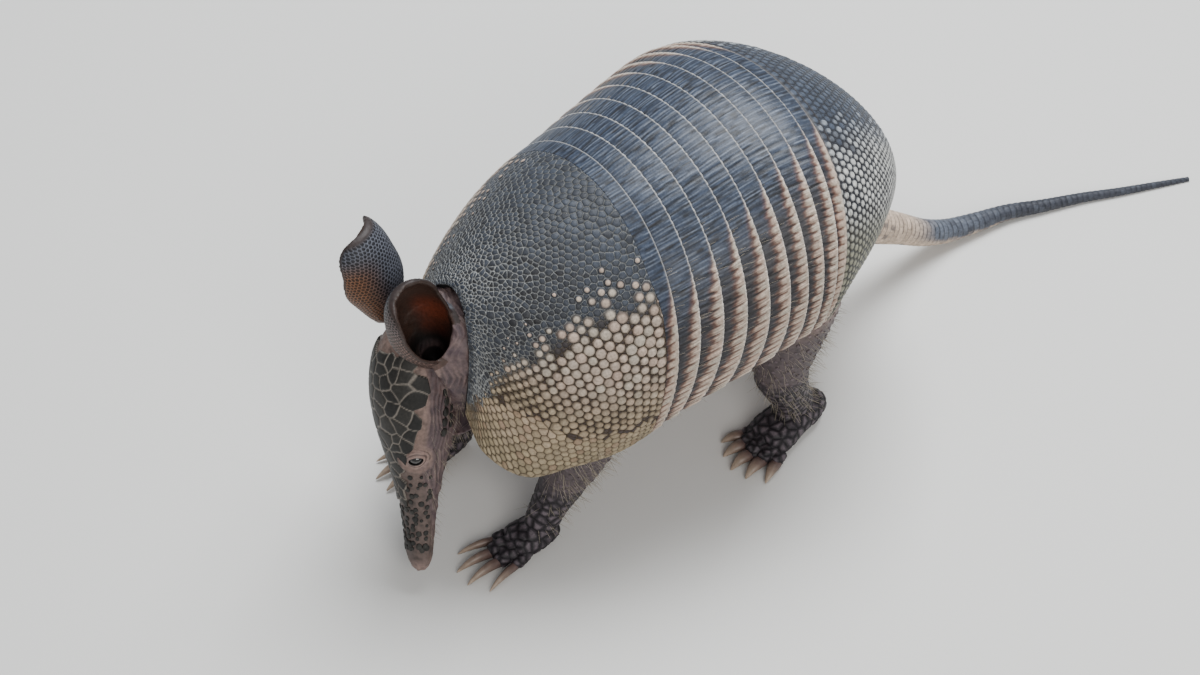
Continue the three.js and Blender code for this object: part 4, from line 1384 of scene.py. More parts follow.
def eyelids(side, tree):
    """A ring of skin from the slit over the eyeball out to the cheek, with folds round the slit."""
    centre = eye_centre(side)
    out, across, along = eye_axes(side)
    phi = 2 * np.pi * np.arange(LID_STEPS) / LID_STEPS
    slit = slit_radius(phi) * (1 - 0.1 * np.abs(np.sin(2 * (phi - LID_TILT))))
    rho = np.linspace(0, 1, LID_ROWS)[:, None] ** 1.15
    r = slit + (LID_REACH - slit) * rho
    x = r * np.cos(phi)
    y = r * np.sin(phi)
    flat = centre + across * x[..., None] + along * y[..., None]
    # The head's skin under each point, as a height over the plane through the eye's middle.
    level = np.zeros(r.shape)
    for i, row in enumerate(flat):
        for j, q in enumerate(row):
            hit = tree.ray_cast(tuple(q + out * 12), tuple(-out), 24)[0]
            level[i, j] = -1 if hit is None else (np.array(hit) - centre) @ out
    lid = np.sqrt(np.maximum((EYE_RADIUS + 0.55) ** 2 - r**2, 0)) * ramp(r, 4.4, 3.6)
    past = r - slit
    height = np.maximum(lid, level + 0.12)
    height = height + 0.22 * hump(lid - level - 0.12, 0.6)
    fold = sum(high * hump(past - at, wide) for high, at, wide in LID_FOLDS)
    height = height + fold * ramp(r, LID_REACH, LID_REACH - 2)
    height = height - 0.4 * ramp(rho, 0.86, 1.0)
    ring = flat + out * height[..., None]
    # The slit's edge turns in to the eyeball, and the outer edge turns down under the skin.
    def circle(radius, height):
        """A ring of points round the eye, given its radius and height at each angle."""
        x, y = (radius * turn(phi) for turn in (np.cos, np.sin))
        return centre + across * x[:, None] + along * y[:, None] + out * height[:, None]

    brim = slit * 0.97
    turned = circle(brim, np.sqrt(np.maximum(EYE_RADIUS**2 - brim**2, 0)) - 0.15)
    wide = slit + 0.7
    tucked = circle(wide, np.sqrt(np.maximum((EYE_RADIUS - 0.2) ** 2 - wide**2, 0.01)))
    rings = np.stack([tucked, turned, *ring, ring[-1] - out * 0.8])
    at = np.arange(len(rings) * LID_STEPS).reshape(-1, LID_STEPS)
    after = np.roll(at, -1, 1)
    quads = np.stack([at, after, np.roll(after, -1, 0), np.roll(at, -1, 0)], -1).reshape(-1, 4)
    if side == RIGHT:
        quads = quads[:, ::-1]
    return rings.reshape(-1, 3), quads


def lid_tone(p, side):
    """The folds are pinkish, and their creases and the slit's edge dark."""
    _, across, along = eye_axes(side)
    q = p - eye_centre(side)
    r = np.hypot(q @ across, q @ along)
    past = r - slit_radius(np.arctan2(q @ along, q @ across))
    tone = mix(SKIN_PALE * 0.9, SKIN_CHEEK, ramp(past, 1.5, 4))
    # Painted shade: the creases between the lid's folds are darkened.
    crease = hump(past - 1.05, 0.28) + hump(past - 2.45, 0.3)
    tone = mix(tone, SKIN_SNOUT * 0.45, 0.8 * crease)
    tone = mix(tone, EAR_BLACK, ramp(past, 0.22, 0.0))
    return mix(tone, head_tone(p), ramp(r, LID_REACH - 2.4, LID_REACH - 0.6))


def skin_piece(body, head):
    """The whole skin as one piece, in place of the flesh's nodes."""
    tree = head.tree()
    parts = [(body.points, body.faces), (head.points, head.faces)]
    tones = [body_tone(body.points), head_tone(head.points)]
    for side in (LEFT, RIGHT):
        points, quads = eyelids(side, tree)
        parts.append((points, [quads]))
        tones.append(lid_tone(points, side))
    points, faces = joined(parts)
    piece = new_piece("skin", points, faces, SKIN, np.concatenate(tones))
    flesh = ["trunk", "head", "neck"] + [f"tail_{k}" for k in range(1, 5)]
    for name in SIDE_NAME.values():
        flesh += [f"{limb}_{name}" for limb in ("hind_leg", "fore_leg", "hind_foot", "fore_foot", "ear")]
    finish_piece(piece, "skin", *flesh)


def eyeball(side):
    """A dark glossy ball."""
    turns = 2 * np.pi * np.arange(64) / 64
    a, b = np.meshgrid(np.linspace(0.02, np.pi - 0.02, 33), turns, indexing="ij")
    ball = np.stack([np.sin(a) * np.cos(b), np.sin(a) * np.sin(b), np.cos(a)], -1)
    points, faces = loft(eye_centre(side) + ball * EYE_RADIUS)
    piece = new_piece(f"eyeball_{SIDE_NAME[side]}", points, faces, EYE)
    finish_piece(piece, "eye", f"eye_{SIDE_NAME[side]}")


def glossy(name, level, roughness):
    """A plain material under a clear coat."""
    material = plain(name, level, roughness)
    shader = material.node_tree.nodes["Principled BSDF"]
    shader.inputs["Coat Weight"].default_value = 1.0
    shader.inputs["Coat Roughness"].default_value = 0.03
    return material


EYE = glossy("eye", colour(16, 11, 10), 0.12)


# Scales, claws and hairs over the skin.
HEAD_PLATE = colour(50, 48, 45)
HEAD_PLATE_DARK = colour(32, 31, 30)
HEAD_SEAM = colour(128, 120, 112)
TAIL_CREAM = colour(186, 166, 148)
TAIL_BLUE = colour(96, 102, 114)
TAIL_DARK = colour(58, 60, 68)
FOOT_DARK = colour(42, 38, 42)
FOOT_PALE = colour(104, 94, 100)
CLAW_ROOT = colour(92, 74, 70)
CLAW_TIP = colour(164, 146, 128)
HAIR_PALE = colour(176, 164, 146)
head_wrap = through([-5, 4, 22, 30, 38, 46, 67], [66, 82, 86, 76, 52, 43, 30])

SCALE_HORN = painted("scale_horn", 0.5, 0.0009, 0.0001, shine=0.24)
CLAW_HORN = painted("claw_horn", 0.35, 0.002, 0.00006, mottle=0.18)
HAIR = painted("hair", 0.5, 0.004, 0.00001, mottle=0.1)


def surface_grid(at, rows, columns):
    """Points at(u, v) over the unit square with their outward normals; the columns run from v = 1 to v = 0,
    which turns their faces outward."""
    u, v = np.meshgrid(np.linspace(0, 1, rows), np.linspace(1, 0, columns), indexing="ij")
    p = at(u, v)
    along = np.gradient(p, axis=0)
    across = np.gradient(p, axis=1)
    return u, v, p, unit(np.cross(across, along))


def head_plates():
    """Irregular flat plates over the top of the head; those past the ragged margin lie under the skin."""
    def place(u, v):
        along = -5 + 72 * u
        return along, (2 * v - 1) * np.deg2rad(head_wrap(along))

    u, v, p, normal = surface_grid(lambda u, v: head_point(*place(u, v), 0.3), 145, 163)
    along, angle = place(u, v)
    pitch = through([-5, 8, 30, 50, 67], [4.6, 6.2, 6.4, 5.0, 3.6])
    steps = np.linspace(-6, 68, 300)
    rows = np.concatenate([[0], np.cumsum(np.diff(steps) / (ROW * pitch(steps[1:])))])
    a = np.interp(along, steps, rows)
    b = angle * (head_width(along) + head_top(along)) / 2 / pitch(along) + 40
    warp = flat3(along, angle * 16)
    a = a + 0.4 * noise(warp, 7, 21)
    b = b + 0.4 * noise(warp, 7, 22)
    edge, _, random, at_a, at_b = scutes(a, b, 0.3, 0.62, small_ones=False)
    e = edge * pitch(along)
    middle = np.interp(at_a, rows, steps)
    reach = np.abs(at_b - 40) * pitch(middle) / ((head_width(middle) + head_top(middle)) / 2)
    out = (reach > np.deg2rad(head_wrap(middle)) * 0.93) | (middle > 64) | (middle < -3.5)
    height = 0.34 * dome(e, 0.9) - 1.5 * out
    cell = mix(HEAD_PLATE_DARK, HEAD_PLATE, random[..., 0]) * (0.8 + 0.4 * noise(p, 1.4, 23)[..., None] ** 2)
    tone = mix(cell, HEAD_SEAM, 0.85 * (1 - ramp(e, 0.06, 0.4)))
    depth = np.full(height.shape, 1.2)
    piece = plate_piece("head_shield_scutes", p, normal, height, tone, SCALE_HORN, depth, lip=0.1)
    finish_piece(piece, "armour", "head_shield")


def ear_scales(side):
    """Small polygons over the back of an ear."""
    ear = EARS[side]
    half = EAR_SKIN / 2

    def at(u, v):
        return ear.point(0.07 + 0.92 * u, 0.015 + 0.97 * v, half - 0.1)

    _, _, p, normal = surface_grid(at, 157, 181)
    up, angle, _ = ear.place(p)
    pitch = 1.55
    arc = angle * ear_radius(up)
    warp = flat3(up * EAR_LENGTH, arc)
    a = up * EAR_LENGTH / (ROW * pitch) + 0.35 * noise(warp, 5, 24)
    b = arc / pitch + 50 + 0.35 * noise(warp, 5, 25)
    edge, _, random, _, _ = scutes(a, b, 0.3, 0.3, small_ones=False)
    e = edge * pitch
    within = ramp(np.rad2deg(np.abs(angle)), ear_curl(up) - 1, ear_curl(up) - 9)
    within = np.minimum(within, ramp(up, 0.99, 0.96))
    height = (0.1 + 0.2 * dome(e, 0.5)) * within
    tone = ear_tone(p + normal * 0.5, side)
    cell = tone * (0.2 + 0.2 * random[..., 0:1])
    tone = mix(cell, tone * 2.2 + 0.02, (1 - ramp(e, 0.04, 0.24)) * (0.25 + 0.75 * within))
    depth = np.full(height.shape, 0.25)
    name = f"ear_{SIDE_NAME[side]}_scales"
    piece = plate_piece(name, p, normal, height, tone, SCALE_HORN, depth, lip=0.05)
    finish_piece(piece, "skin")


def tail_scales():
    """Rings of scutes down the tail: cream at its base, slate on top and then all round farther on."""
    rows, columns = 451, 84
    # k counts rings from the base, and w scutes round the ring; f and c are places within a scute.
    along = np.linspace(3, TAIL.length, rows)[:, None] + np.zeros((1, columns))
    angle = 2 * np.pi * np.arange(columns)[None] / columns + np.zeros((rows, 1))
    steps = np.linspace(0, TAIL.length, 400)
    pitch = through([0, 60, 150, 245], [4.4, 3.7, 3.0, 2.4])
    rings = np.concatenate([[0], np.cumsum(np.diff(steps) / pitch(steps[1:]))])
    k = np.interp(along, steps, rings)
    k = k + 0.07 * noise(flat3(np.cos(angle) * 9, np.sin(angle) * 9 + along), 5, 26)
    number = np.floor(k).astype(int)
    f = k - number
    middle = np.interp(number + 0.5, rings, steps)
    around = np.maximum(np.round(2 * np.pi * TAIL.radius(middle / TAIL.length) / 2.9), 7)
    w = angle / (2 * np.pi) * around + 0.5 * (number % 2)
    scute = np.floor(w).astype(int)
    c = 2 * np.abs(w - scute - 0.5)
    r = TOOTH_RANDOM[number % 16, (scute % around.astype(int) * 7) % 256]
    size = np.clip(TAIL.radius(along / TAIL.length) / 8, 0.3, 1)
    back = (1 - f) * pitch(middle)
    groove = hump(back, 0.6)
    seam = ramp(c, 0.8, 1.0)
    height = size * (0.28 * np.sin(np.pi * np.clip(f, 0, 1)) + 0.3 * f - 0.45 * groove - 0.2 * seam)
    # Cream at the base, then slate from the top down, with dashes and blotches.
    top = 0.5 + 0.5 * np.cos(angle)
    darkness = ramp(along, 82, 112) * ramp(top, 0.3, 0.62) + ramp(along, 132, 165)
    darkness = np.clip(darkness + 0.5 * ramp(along, 95, 130) * (r[..., 0] > 0.45), 0, 1)
    slate = mix(TAIL_BLUE, TAIL_DARK, np.clip(ramp(along, 100, 170) + 0.5 * r[..., 1] - 0.2, 0, 1))
    tone = mix(TAIL_CREAM * (0.85 + 0.3 * r[..., 2:3]), slate, darkness)
    dash = hump(back, 0.85) * (r[..., 0] > 0.2) * ramp(top, 0.3, 0.6)
    dash = dash * ramp(along, 4, 10) * ramp(along, 150, 110)
    tone = mix(tone, tone * 0.3, 0.85 * groove + 0.25 * seam)
    tone = mix(tone, TAIL_DARK * 0.4, dash)
    blotch = (r[..., 3] > 0.86) & (along > 12)
    tone = mix(tone, TAIL_DARK, 0.6 * blotch * ramp(c, 0.95, 0.6))
    # A closed sleeve: the outer face to the tip, and a coarser inner one back.
    outer = TAIL.point(along, angle, 0.1)
    outward = unit(outer - TAIL.frame(along)[0])
    outer = outer + outward * height[..., None]
    outer[-1] = TAIL.point(along[-1], angle[-1], -0.8)
    outer[..., 2] = np.maximum(outer[..., 2], 0.03)
    every = slice(None, None, 15)
    inner = TAIL.point(along[every], angle[every], -0.55 * size[every])[::-1]
    inner[0] = TAIL.point(along[-1] - 1.5, angle[-1], -0.75)
    inner[..., 2] = np.maximum(inner[..., 2], 0.25)
    shell = np.concatenate([outer, inner])
    tones = np.concatenate([tone, tone[every][::-1]])
    at = np.arange(len(shell) * columns).reshape(-1, columns)
    after = np.roll(at, -1, 1)
    quads = np.stack([at, np.roll(at, -1, 0), np.roll(after, -1, 0), after], -1).reshape(-1, 4)
    rows_at = np.concatenate([np.linspace(0.01, 0.9, rows), np.linspace(0.99, 0.92, len(inner))])
    uv_u = rows_at[:, None] + 0 * shell[..., 0]
    corner_u = np.stack([uv_u, np.roll(uv_u, -1, 0), np.roll(uv_u, -1, 0), uv_u], -1).reshape(-1)
    turn = np.arange(columns)[None] / columns * 0.98 + 0.01 + 0 * uv_u
    one = 0.98 / columns
    corner_v = np.stack([turn, turn, turn + one, turn + one], -1).reshape(-1)
    uv = np.stack([corner_u, corner_v], 1)
    piece = new_piece("tail_scales", shell.reshape(-1, 3), [quads], SCALE_HORN, tones.reshape(-1, 3), uv)
    finish_piece(piece, "skin")


def box_unwrap(surface):
    """Corner places in six charts, one for each way that a face looks."""
    low = surface.points.min(0)
    scale = 1 / np.ptp(surface.points, axis=0).max()
    out = []
    for f in surface.faces:
        p = surface.points[f]
        look = np.cross(p[:, 2] - p[:, 0], p[:, -1] - p[:, 1])
        axis = np.abs(look).argmax(1)
        sign = np.take_along_axis(look, axis[:, None], 1)[:, 0] > 0
        q = (p - low) * scale
        first = np.where(axis == 0, 1, 0)
        second = np.where(axis == 2, 1, 2)
        u = np.take_along_axis(q, first[:, None, None], 2)[..., 0]
        v = np.take_along_axis(q, second[:, None, None], 2)[..., 0]
        u = (u * 0.96 + 0.02 + axis[:, None]) / 3
        v = (v * 0.96 + 0.02 + sign[:, None]) / 2
        out.append(np.stack([u, v], -1).reshape(-1, 2))
    return np.concatenate(out)


def seeds(points, spacing, rng):
    """Points picked so that no two are nearer than the spacing at the one picked."""
    cell = spacing.max()
    grid_of = {}
    keys = np.floor(points / cell).astype(int).tolist()
    picked = []
    for i in rng.permutation(len(points)).tolist():
        x, y, z = keys[i]
        p = points[i]
        near = [j for dx in (-1, 0, 1) for dy in (-1, 0, 1) for dz in (-1, 0, 1)
                for j in grid_of.get((x + dx, y + dy, z + dz), ())]
        if not near or ((points[near] - p) ** 2).sum(1).min() > spacing[i] ** 2:
            grid_of.setdefault((x, y, z), []).append(i)
            picked.append(i)
    return np.array(picked)


def cobbles(points, at):
    """For each point, its distance to the border between the two nearest seeds, and the number of the
    nearest one."""
    tree = KDTree(len(at))
    for i, q in enumerate(at.tolist()):
        tree.insert(q, i)
    tree.balance()
    first = np.empty(len(points), int)
    edge = np.empty(len(points))
    for i, p in enumerate(points.tolist()):
        (a, ia, da), (b, _, db) = tree.find_n(p, 2)
        first[i] = ia
        edge[i] = (db * db - da * da) / (2 * max((a - b).length, 1e-6))
    return edge, first


def leg_station(leg, z, grow=0.0):
    """The station of a leg at height z, between the given ones."""
    up = np.array(leg[::-1], float)
    x, y, wide, tall = (float(through(up[:, 2], up[:, k])(z)) for k in (0, 1, 3, 4))
    return [x, y, z, wide + grow, tall + grow]


def foot_scales(name, leg, foot, toes, side, top, seed):
    """Cobbled scales from the shank down to the toes, finer under the sole."""
    rng = np.random.default_rng(seed)
    shank = [leg_station(leg, top, -1.3), leg_station(leg, top - 2.5), *(s for s in leg if s[2] < top - 2)]
    bodies = [sweep(placed(shank, side), [side, 0, 0], grow=-0.25, floor=0.8)]
    bodies += foot_bodies(foot, toes, side, -0.3, 0.35)
    surface = fused(bodies, FOOT_VOXEL).relax(7)
    p = surface.points
    normal = surface.normals()
    toe_y = np.mean([t[1] for t in toes]) + SHIFT_Y
    spacing = 3.3 - 0.7 * ramp(p[:, 1], toe_y + 1, toe_y - 4) * ramp(p[:, 2], 16, 10)
    spacing = np.where(normal[:, 2] < -0.5, 1.9, spacing)
    spacing = spacing - 0.6 * ramp(p[:, 2], top - 14, top)
    picked = seeds(p, spacing, rng)
    edge, first = cobbles(p, p[picked])
    random = rng.random((len(picked), 3))[first]
    fade = ramp(p[:, 2], top, top - 7)
    lift = (0.5 * dome(edge, 1.0) * (0.7 + 0.5 * random[:, 0]) - 0.12) * (0.25 + 0.75 * fade)
    # Painted highlight: each cobble is paler toward its middle, by its own random amount.
    tone = mix(FOOT_DARK, FOOT_PALE, ramp(edge, 0.5, 1.7) * (0.35 + 0.6 * random[:, 1]))
    tone = mix(tone, FOOT_DARK * 0.35, 1 - ramp(edge, 0.05, 0.4))
    tone = mix(tone, SKIN_LEG, 0.7 * (1 - fade))
    tone = mix(tone, SKIN_CHEEK * 0.8, 0.5 * ramp(-normal[:, 2], 0.4, 0.8))
    surface.points = p + normal * lift[:, None]
    surface.points[:, 2] = np.maximum(surface.points[:, 2], 0.03)
    piece = new_piece(name, surface.points, surface.faces, SCALE_HORN, tone, box_unwrap(surface))
    finish_piece(piece, "skin")


def claws(kind, toes, side, length, broad):
    """The claws of one foot, broad across by the share of their thickness."""
    name = SIDE_NAME[side]
    bodies = []
    tones = []
    for x0, y0, x1, y1, r in toes:
        ahead = unit(np.array([side * (x1 - x0), y1 - y0, 0]))
        base = np.array([side * x1, y1 + SHIFT_Y, r])
        size = min(CLAW_RADIUS, r * 0.62)
        u = np.linspace(-0.16, 1, 8)
        over = np.maximum(u, 0)
        fine = size * (1 - 0.86 * over**2)
        z = np.maximum(base[2] + 3.2 * over * (1 - over) - (base[2] - 0.9) * over**2, fine * 1.1 + 0.1)
        path = base + ahead * (length * u)[:, None]
        stations = np.column_stack([path[:, :2], z, fine * broad, fine * 1.1])
        points, faces = sweep(stations, [side, 0, 0], 30, 16, floor=0.02, blunt=1.2)
        bodies.append((points, faces))
        share = np.clip(((points - base) @ ahead) / length, 0, 1)
        tones.append(mix(CLAW_ROOT, CLAW_TIP, share**1.3))
    piece = new_piece(f"{kind}_claws_{name}", *joined(bodies), CLAW_HORN, np.concatenate(tones))
    finish_piece(piece, "claw", *(f"{kind}_claw_{name}_{i + 1}" for i in range(len(toes))))


def copies(faces, count, points):
    """The faces of count copies of a shape with so many points."""
    starts = (np.arange(count) * points)[:, None, None]
    return [(f[None] + starts).reshape(-1, f.shape[1]) for f in faces]


def tube_faces(rings, sides, tip, tail):
    """Quads between rings of points, and triangles that join the last ring to the point tip and the first
    one to the point tail. A first ring of three sides closes itself where tail is None."""
    at = np.arange(rings * sides).reshape(rings, sides)
    after = np.roll(at, -1, 1)
    quads = np.stack([at[:-1], after[:-1], after[1:], at[1:]], -1).reshape(-1, 4)
    caps = [np.stack([at[-1], after[-1], np.full(sides, tip)], -1)]
    caps.append(at[:1, ::-1] if tail is None else np.stack([after[0], at[0], np.full(sides, tail)], -1))
    return [quads, np.concatenate(caps)]


def domes(name, at, normal, ahead, long, wide, high, tone):
    """Low oval scales in one mesh, each set a little into the skin; ahead is the way of its long side."""
    sides = 10
    across = unit(np.cross(normal, ahead))
    ahead = np.cross(across, normal)
    angle = 2 * np.pi * np.arange(sides) / sides
    circle = np.stack([np.cos(angle), np.sin(angle)], 1)
    rings = ((1.0, -0.5), (0.86, 0.45), (0.5, 0.88))
    up = (normal * high[:, None])[:, None]
    parts = []
    for reach, rise in rings:
        parts.append(at[:, None] + (ahead * (long / 2 * reach)[:, None])[:, None] * circle[:, :1]
                     + (across * (wide / 2 * reach)[:, None])[:, None] * circle[:, 1:] + up * rise)
    points = np.concatenate([*parts, at[:, None] + up, at[:, None] - up], 1)
    one = points.shape[1]
    # Painted shade and highlight: each scale is darkest where it meets the skin and brightest on top.
    level = np.concatenate([np.repeat([0.35, 0.8, 1.0], sides), [1.1, 0.3]])
    spread = np.concatenate([circle * reach for reach, _ in rings] + [np.zeros((2, 2))]) * 0.0015
    coat(name, points, tube_faces(len(rings), sides, one - 2, one - 1), SCALE_HORN, tone, level, at, spread)


def root_place(at):
    """A place on an unwrap of the skin: along the body, and round it."""
    u = 0.02 + 0.96 * np.clip((at[:, 1] + 210) / 420, 0, 1)
    v = 0.02 + 0.96 * (np.arctan2(at[:, 0], 70 - at[:, 2]) / (2 * np.pi) + 0.5)
    return np.stack([u, v], 1)


def coat(name, points, faces, material, tone, level, at, spread):
    """Copies of one small shape as a piece of the skin's coat. points are (copies, points, 3), tone is each
    copy's colour, level each point's brightness, at the copies' roots and spread the shape's own unwrap."""
    tones = tone[:, None] * level[None, :, None]
    uv = root_place(at)[:, None] + spread
    faces = copies(faces, *points.shape[:2])
    piece = new_piece(name, points.reshape(-1, 3), faces, material, tones.reshape(-1, 3), uv.reshape(-1, 2))
    finish_piece(piece, "skin")


def bristles(name, at, ahead, long, thick, tone):
    """Thin three-sided hairs in one mesh, drooping toward their tips."""
    shares = np.array([0, 0.3, 0.62, 0.86])
    across = unit(np.cross(ahead, [0.3, 0.2, 1]))
    other = np.cross(across, ahead)
    droop = np.array([0, 0, -0.16])
    parts = []
    for share in shares:
        middle = at + ahead * (long * share)[:, None] + droop * (long * share**2)[:, None]
        radius = thick * (1 - 0.7 * share)
        for a in 2 * np.pi * np.arange(3) / 3:
            parts.append(middle + (across * np.cos(a) + other * np.sin(a)) * radius)
    parts.append(at + ahead * long[:, None] + droop * long[:, None])
    level = np.concatenate([np.repeat(0.6 + 0.5 * shares, 3), [1.15]])
    spread = np.stack([np.concatenate([np.repeat(shares, 3), [1]]), np.arange(13) % 3 / 3], 1) * 0.003
    coat(name, np.stack(parts, 1), tube_faces(4, 3, 12, None), HAIR, tone, level, at, spread)


def pick(surface, share_of, count, rng):
    """Some of a surface's points and their normals, more of them where share_of is high."""
    weight = share_of(surface.points, surface.normals())
    chosen = rng.choice(len(weight), count, replace=False, p=weight / weight.sum())
    return surface.points[chosen], surface.normals()[chosen]


def body_hairs(body):
    """Hairs on the legs and in rows across the belly."""
    rng = np.random.default_rng(31)

    def share_of(p, n):
        side = np.abs(p[:, 0])
        leg = ramp(side, 24, 32) * ramp(p[:, 2], 12, 20) * ramp(p[:, 2], 78, 62)
        rows = 0.3 + 0.7 * (np.cos(2 * np.pi * p[:, 1] / 6.5) > 0.4)
        belly = ramp(-n[:, 2], 0.2, 0.6) * ramp(p[:, 2], 90, 80) * ramp(p[:, 2], 38, 46) * rows
        return 1.6 * leg + 0.7 * belly

    at, normal = pick(body, share_of, 3400, rng)
    ahead = unit(normal * 0.55 + np.array([0, 0.5, -0.55]) + 0.25 * rng.normal(size=at.shape))
    long = rng.uniform(3.5, 8.5, len(at))
    tone = HAIR_PALE * rng.uniform(0.55, 1.1, (len(at), 1))
    bristles("body_hairs", at - normal * 0.3, ahead, long, 0.1, tone)


def head_hairs(head):
    """Hairs on the cheeks and under the neck."""
    rng = np.random.default_rng(37)

    def share_of(p, n):
        u, left, up = head_place(p)
        angle = np.abs(np.arctan2(left, up))
        cheek = ramp(angle, 1.35, 1.8) * ramp(u, 2, 14) * ramp(u, 88, 70)
        return cheek * (1 - ear_share(p)) + 0.5 * neck_share(p) * ramp(p[:, 2], 92, 80) + 1e-9

    at, normal = pick(head, share_of, 650, rng)
    ahead = normal * 0.5 + HEAD_ALONG * 0.55 + np.array([0, 0.25, -0.2])
    ahead = unit(ahead + 0.2 * rng.normal(size=at.shape))
    long = rng.uniform(2.5, 6, len(at))
    tone = HAIR_PALE * rng.uniform(0.6, 1.15, (len(at), 1))
    bristles("head_hairs", at - normal * 0.2, ahead, long, 0.07, tone)


def band_hairs():
    """Sparse pale hairs that lie back from under each band's margin."""
    rng = np.random.default_rng(41)
    roots = []
    for number in range(BAND_COUNT + 1):
        S = SHIELD_END + number * BAND_PITCH + 0.2
        t = rng.uniform(0.3, 0.99, 46) * rng.choice([-1, 1], 46)
        normal = face_normal(S, t)
        p = face_point(S, t) - normal * 0.75
        back = unit(face_point(S + 1.0, t) - face_point(S - 1.0, t))
        roots.append(np.concatenate([p, unit(back + normal * 0.16 + 0.07 * rng.normal(size=p.shape))], 1))
    roots = np.concatenate(roots)
    long = rng.uniform(3, 6, len(roots))
    tone = HAIR_PALE * rng.uniform(0.8, 1.25, (len(roots), 1))
    bristles("band_hairs", roots[:, :3], roots[:, 3:], long, 0.06, tone)


def leg_warts(body):
    """Small round scales scattered over the thighs, upper arms and belly."""
    rng = np.random.default_rng(43)
    p = body.points
    n = body.normals()
    side = np.abs(p[:, 0])
    leg = (side > 22) & (p[:, 2] > 36) & (p[:, 2] < 80)
    belly = (n[:, 2] < -0.3) & (p[:, 2] < 92) & (p[:, 2] > 44)
    allowed = np.where(leg | belly)[0]
    spacing = np.where(leg[allowed], 2.7, 4.2)
    chosen = allowed[seeds(p[allowed], spacing, rng)]
    at = p[chosen]
    size = rng.uniform(1.3, 2.1, len(at)) * np.where(leg[chosen], 1.0, 1.05)
    ahead = np.broadcast_to([0.1, 1.0, -0.4], at.shape)
    tone = mix(body_tone(at) * 1.15, FOOT_PALE, np.where(leg[chosen], 0.35, 0.1))
    tone = tone * rng.uniform(0.75, 1.2, (len(at), 1))
    domes("body_scales", at, n[chosen], ahead, size * 1.15, size, size * 0.2, tone)


def cheek_scales():
    """Dark scutes behind the eye, and small ones along the snout and jaw."""
    rng = np.random.default_rng(47)
    spots = []
    for side in (LEFT, RIGHT):
        for i, along in enumerate(np.arange(8, 34, 4.4)):
            spots.append((along, side * (112 + 2 * np.sin(i)), 4.4, 3.2, 0.55))
        for along in np.arange(10, 30, 3.6):
            spots.append((along, side * 127, 3.2, 2.3, 0.45))
        for along in np.arange(50, 86, 2.9):
            for angle in (42, 62, 84):
                size = rng.uniform(1.3, 2.7)
                place = side * (angle + rng.uniform(-10, 10))
                spots.append((along + rng.uniform(-1.2, 1.2), place, size * 1.2, size, 0.26))
    for along in np.arange(67, 88, 3.0):
        for angle in (-20, 0, 20):
            size = rng.uniform(2.0, 3.0)
            spots.append((along + rng.uniform(-0.7, 0.7), angle + rng.uniform(-5, 5), size * 1.2, size, 0.28))
    along, angle, long, wide, high = np.array(spots).T
    angle = np.deg2rad(angle)
    at = head_point(along, angle, -0.1)
    over = head_point(along, angle + 0.02, -0.1) - head_point(along, angle - 0.02, -0.1)
    ahead = head_point(along + 0.3, angle, -0.1) - head_point(along - 0.3, angle, -0.1)
    normal = unit(np.cross(ahead, over))
    tone = mix(HEAD_PLATE_DARK, HEAD_PLATE, rng.random(len(at)))
    domes("cheek_scales", at, normal, unit(ahead), long, wide, high, tone)


shoulder_shield()
for number in range(1, BAND_COUNT + 1):
    band(number)
pelvic_shield()
body = body_skin()
head = head_skin()
skin_piece(body, head)
head_plates()
cheek_scales()
tail_scales()
leg_warts(body)
body_hairs(body)
head_hairs(head)
band_hairs()
for side in (LEFT, RIGHT):
    name = SIDE_NAME[side]
    eyeball(side)
    ear_scales(side)
    foot_scales(f"hind_foot_{name}_scales", HIND_LEG, HIND_FOOT, HIND_TOES, side, 45, 51)
    foot_scales(f"fore_foot_{name}_scales", FORE_LEG, FORE_FOOT, FORE_TOES, side, 38, 53)
    claws("hind", HIND_TOES, side, HIND_CLAW, 1.4)
    claws("fore", FORE_TOES, side, FORE_CLAW, 1.0)


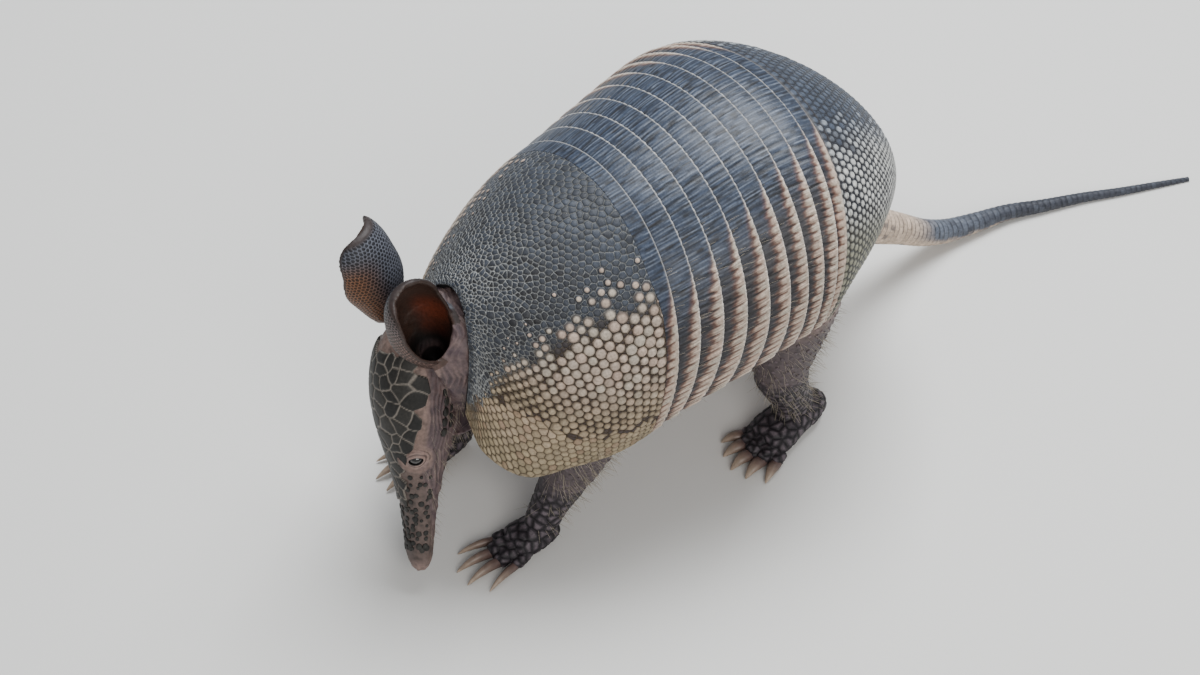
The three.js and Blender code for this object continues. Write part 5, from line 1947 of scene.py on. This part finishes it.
# Floor, light and camera.
def floor():
    """A square of floor, 12 metres wide."""
    corners = [(-6, -6, 0), (6, -6, 0), (6, 6, 0), (-6, 6, 0)]
    mesh = bpy.data.meshes.new("floor")
    mesh.from_pydata(corners, [], [(0, 1, 2, 3)])
    mesh.materials.append(plain("floor", (0.72, 0.71, 0.69), 0.8))
    ground = bpy.data.objects.new("floor", mesh)
    bpy.context.scene.collection.objects.link(ground)


def area_light(name, place, target, size, power, tint):
    """A square panel of light that faces the target."""
    light = bpy.data.lights.new(name, "AREA")
    light.size = size
    light.energy = power
    light.color = tint
    lamp = bpy.data.objects.new(name, light)
    lamp.location = place
    lamp.rotation_euler = (Vector(target) - Vector(place)).to_track_quat("-Z", "Y").to_euler()
    bpy.context.scene.collection.objects.link(lamp)


def studio():
    """An even pale sky, a panel above and behind, and a weaker one in front."""
    world = bpy.data.worlds.new("studio")
    world.use_nodes = True
    sky = world.node_tree.nodes["Background"]
    sky.inputs["Color"].default_value = (0.92, 0.96, 1, 1)
    sky.inputs["Strength"].default_value = 0.42
    bpy.context.scene.world = world
    middle = (0, 0, 0.08)
    area_light("sky_panel", (-0.25, 0.35, 1.3), middle, 0.8, 30, (0.95, 0.98, 1))
    area_light("front_panel", (1.1, -0.5, 0.9), middle, 0.8, 11, (1, 0.97, 0.92))


# The photo's camera, its place in millimetres and its axes.
CAMERA_AT = (573.39, -520.30, 846.26)
CAMERA_RIGHT = (0.59027, 0.80720, 0)
CAMERA_UP = (-0.59891, 0.43795, 0.67045)
CAMERA_BACK = (0.54119, -0.39575, 0.74196)
LENS = 78


def camera():
    """The camera that sees the model as the photo does."""
    data = bpy.data.cameras.new("camera")
    data.lens = LENS
    data.sensor_width = 36
    data.clip_start = 0.01
    data.clip_end = 50
    eye = bpy.data.objects.new("camera", data)
    turn = Matrix((CAMERA_RIGHT, CAMERA_UP, CAMERA_BACK)).transposed().to_4x4()
    eye.matrix_world = Matrix.Translation(Vector(CAMERA_AT) * MM) @ turn
    bpy.context.scene.collection.objects.link(eye)
    bpy.context.scene.camera = eye


floor()
studio()
camera()
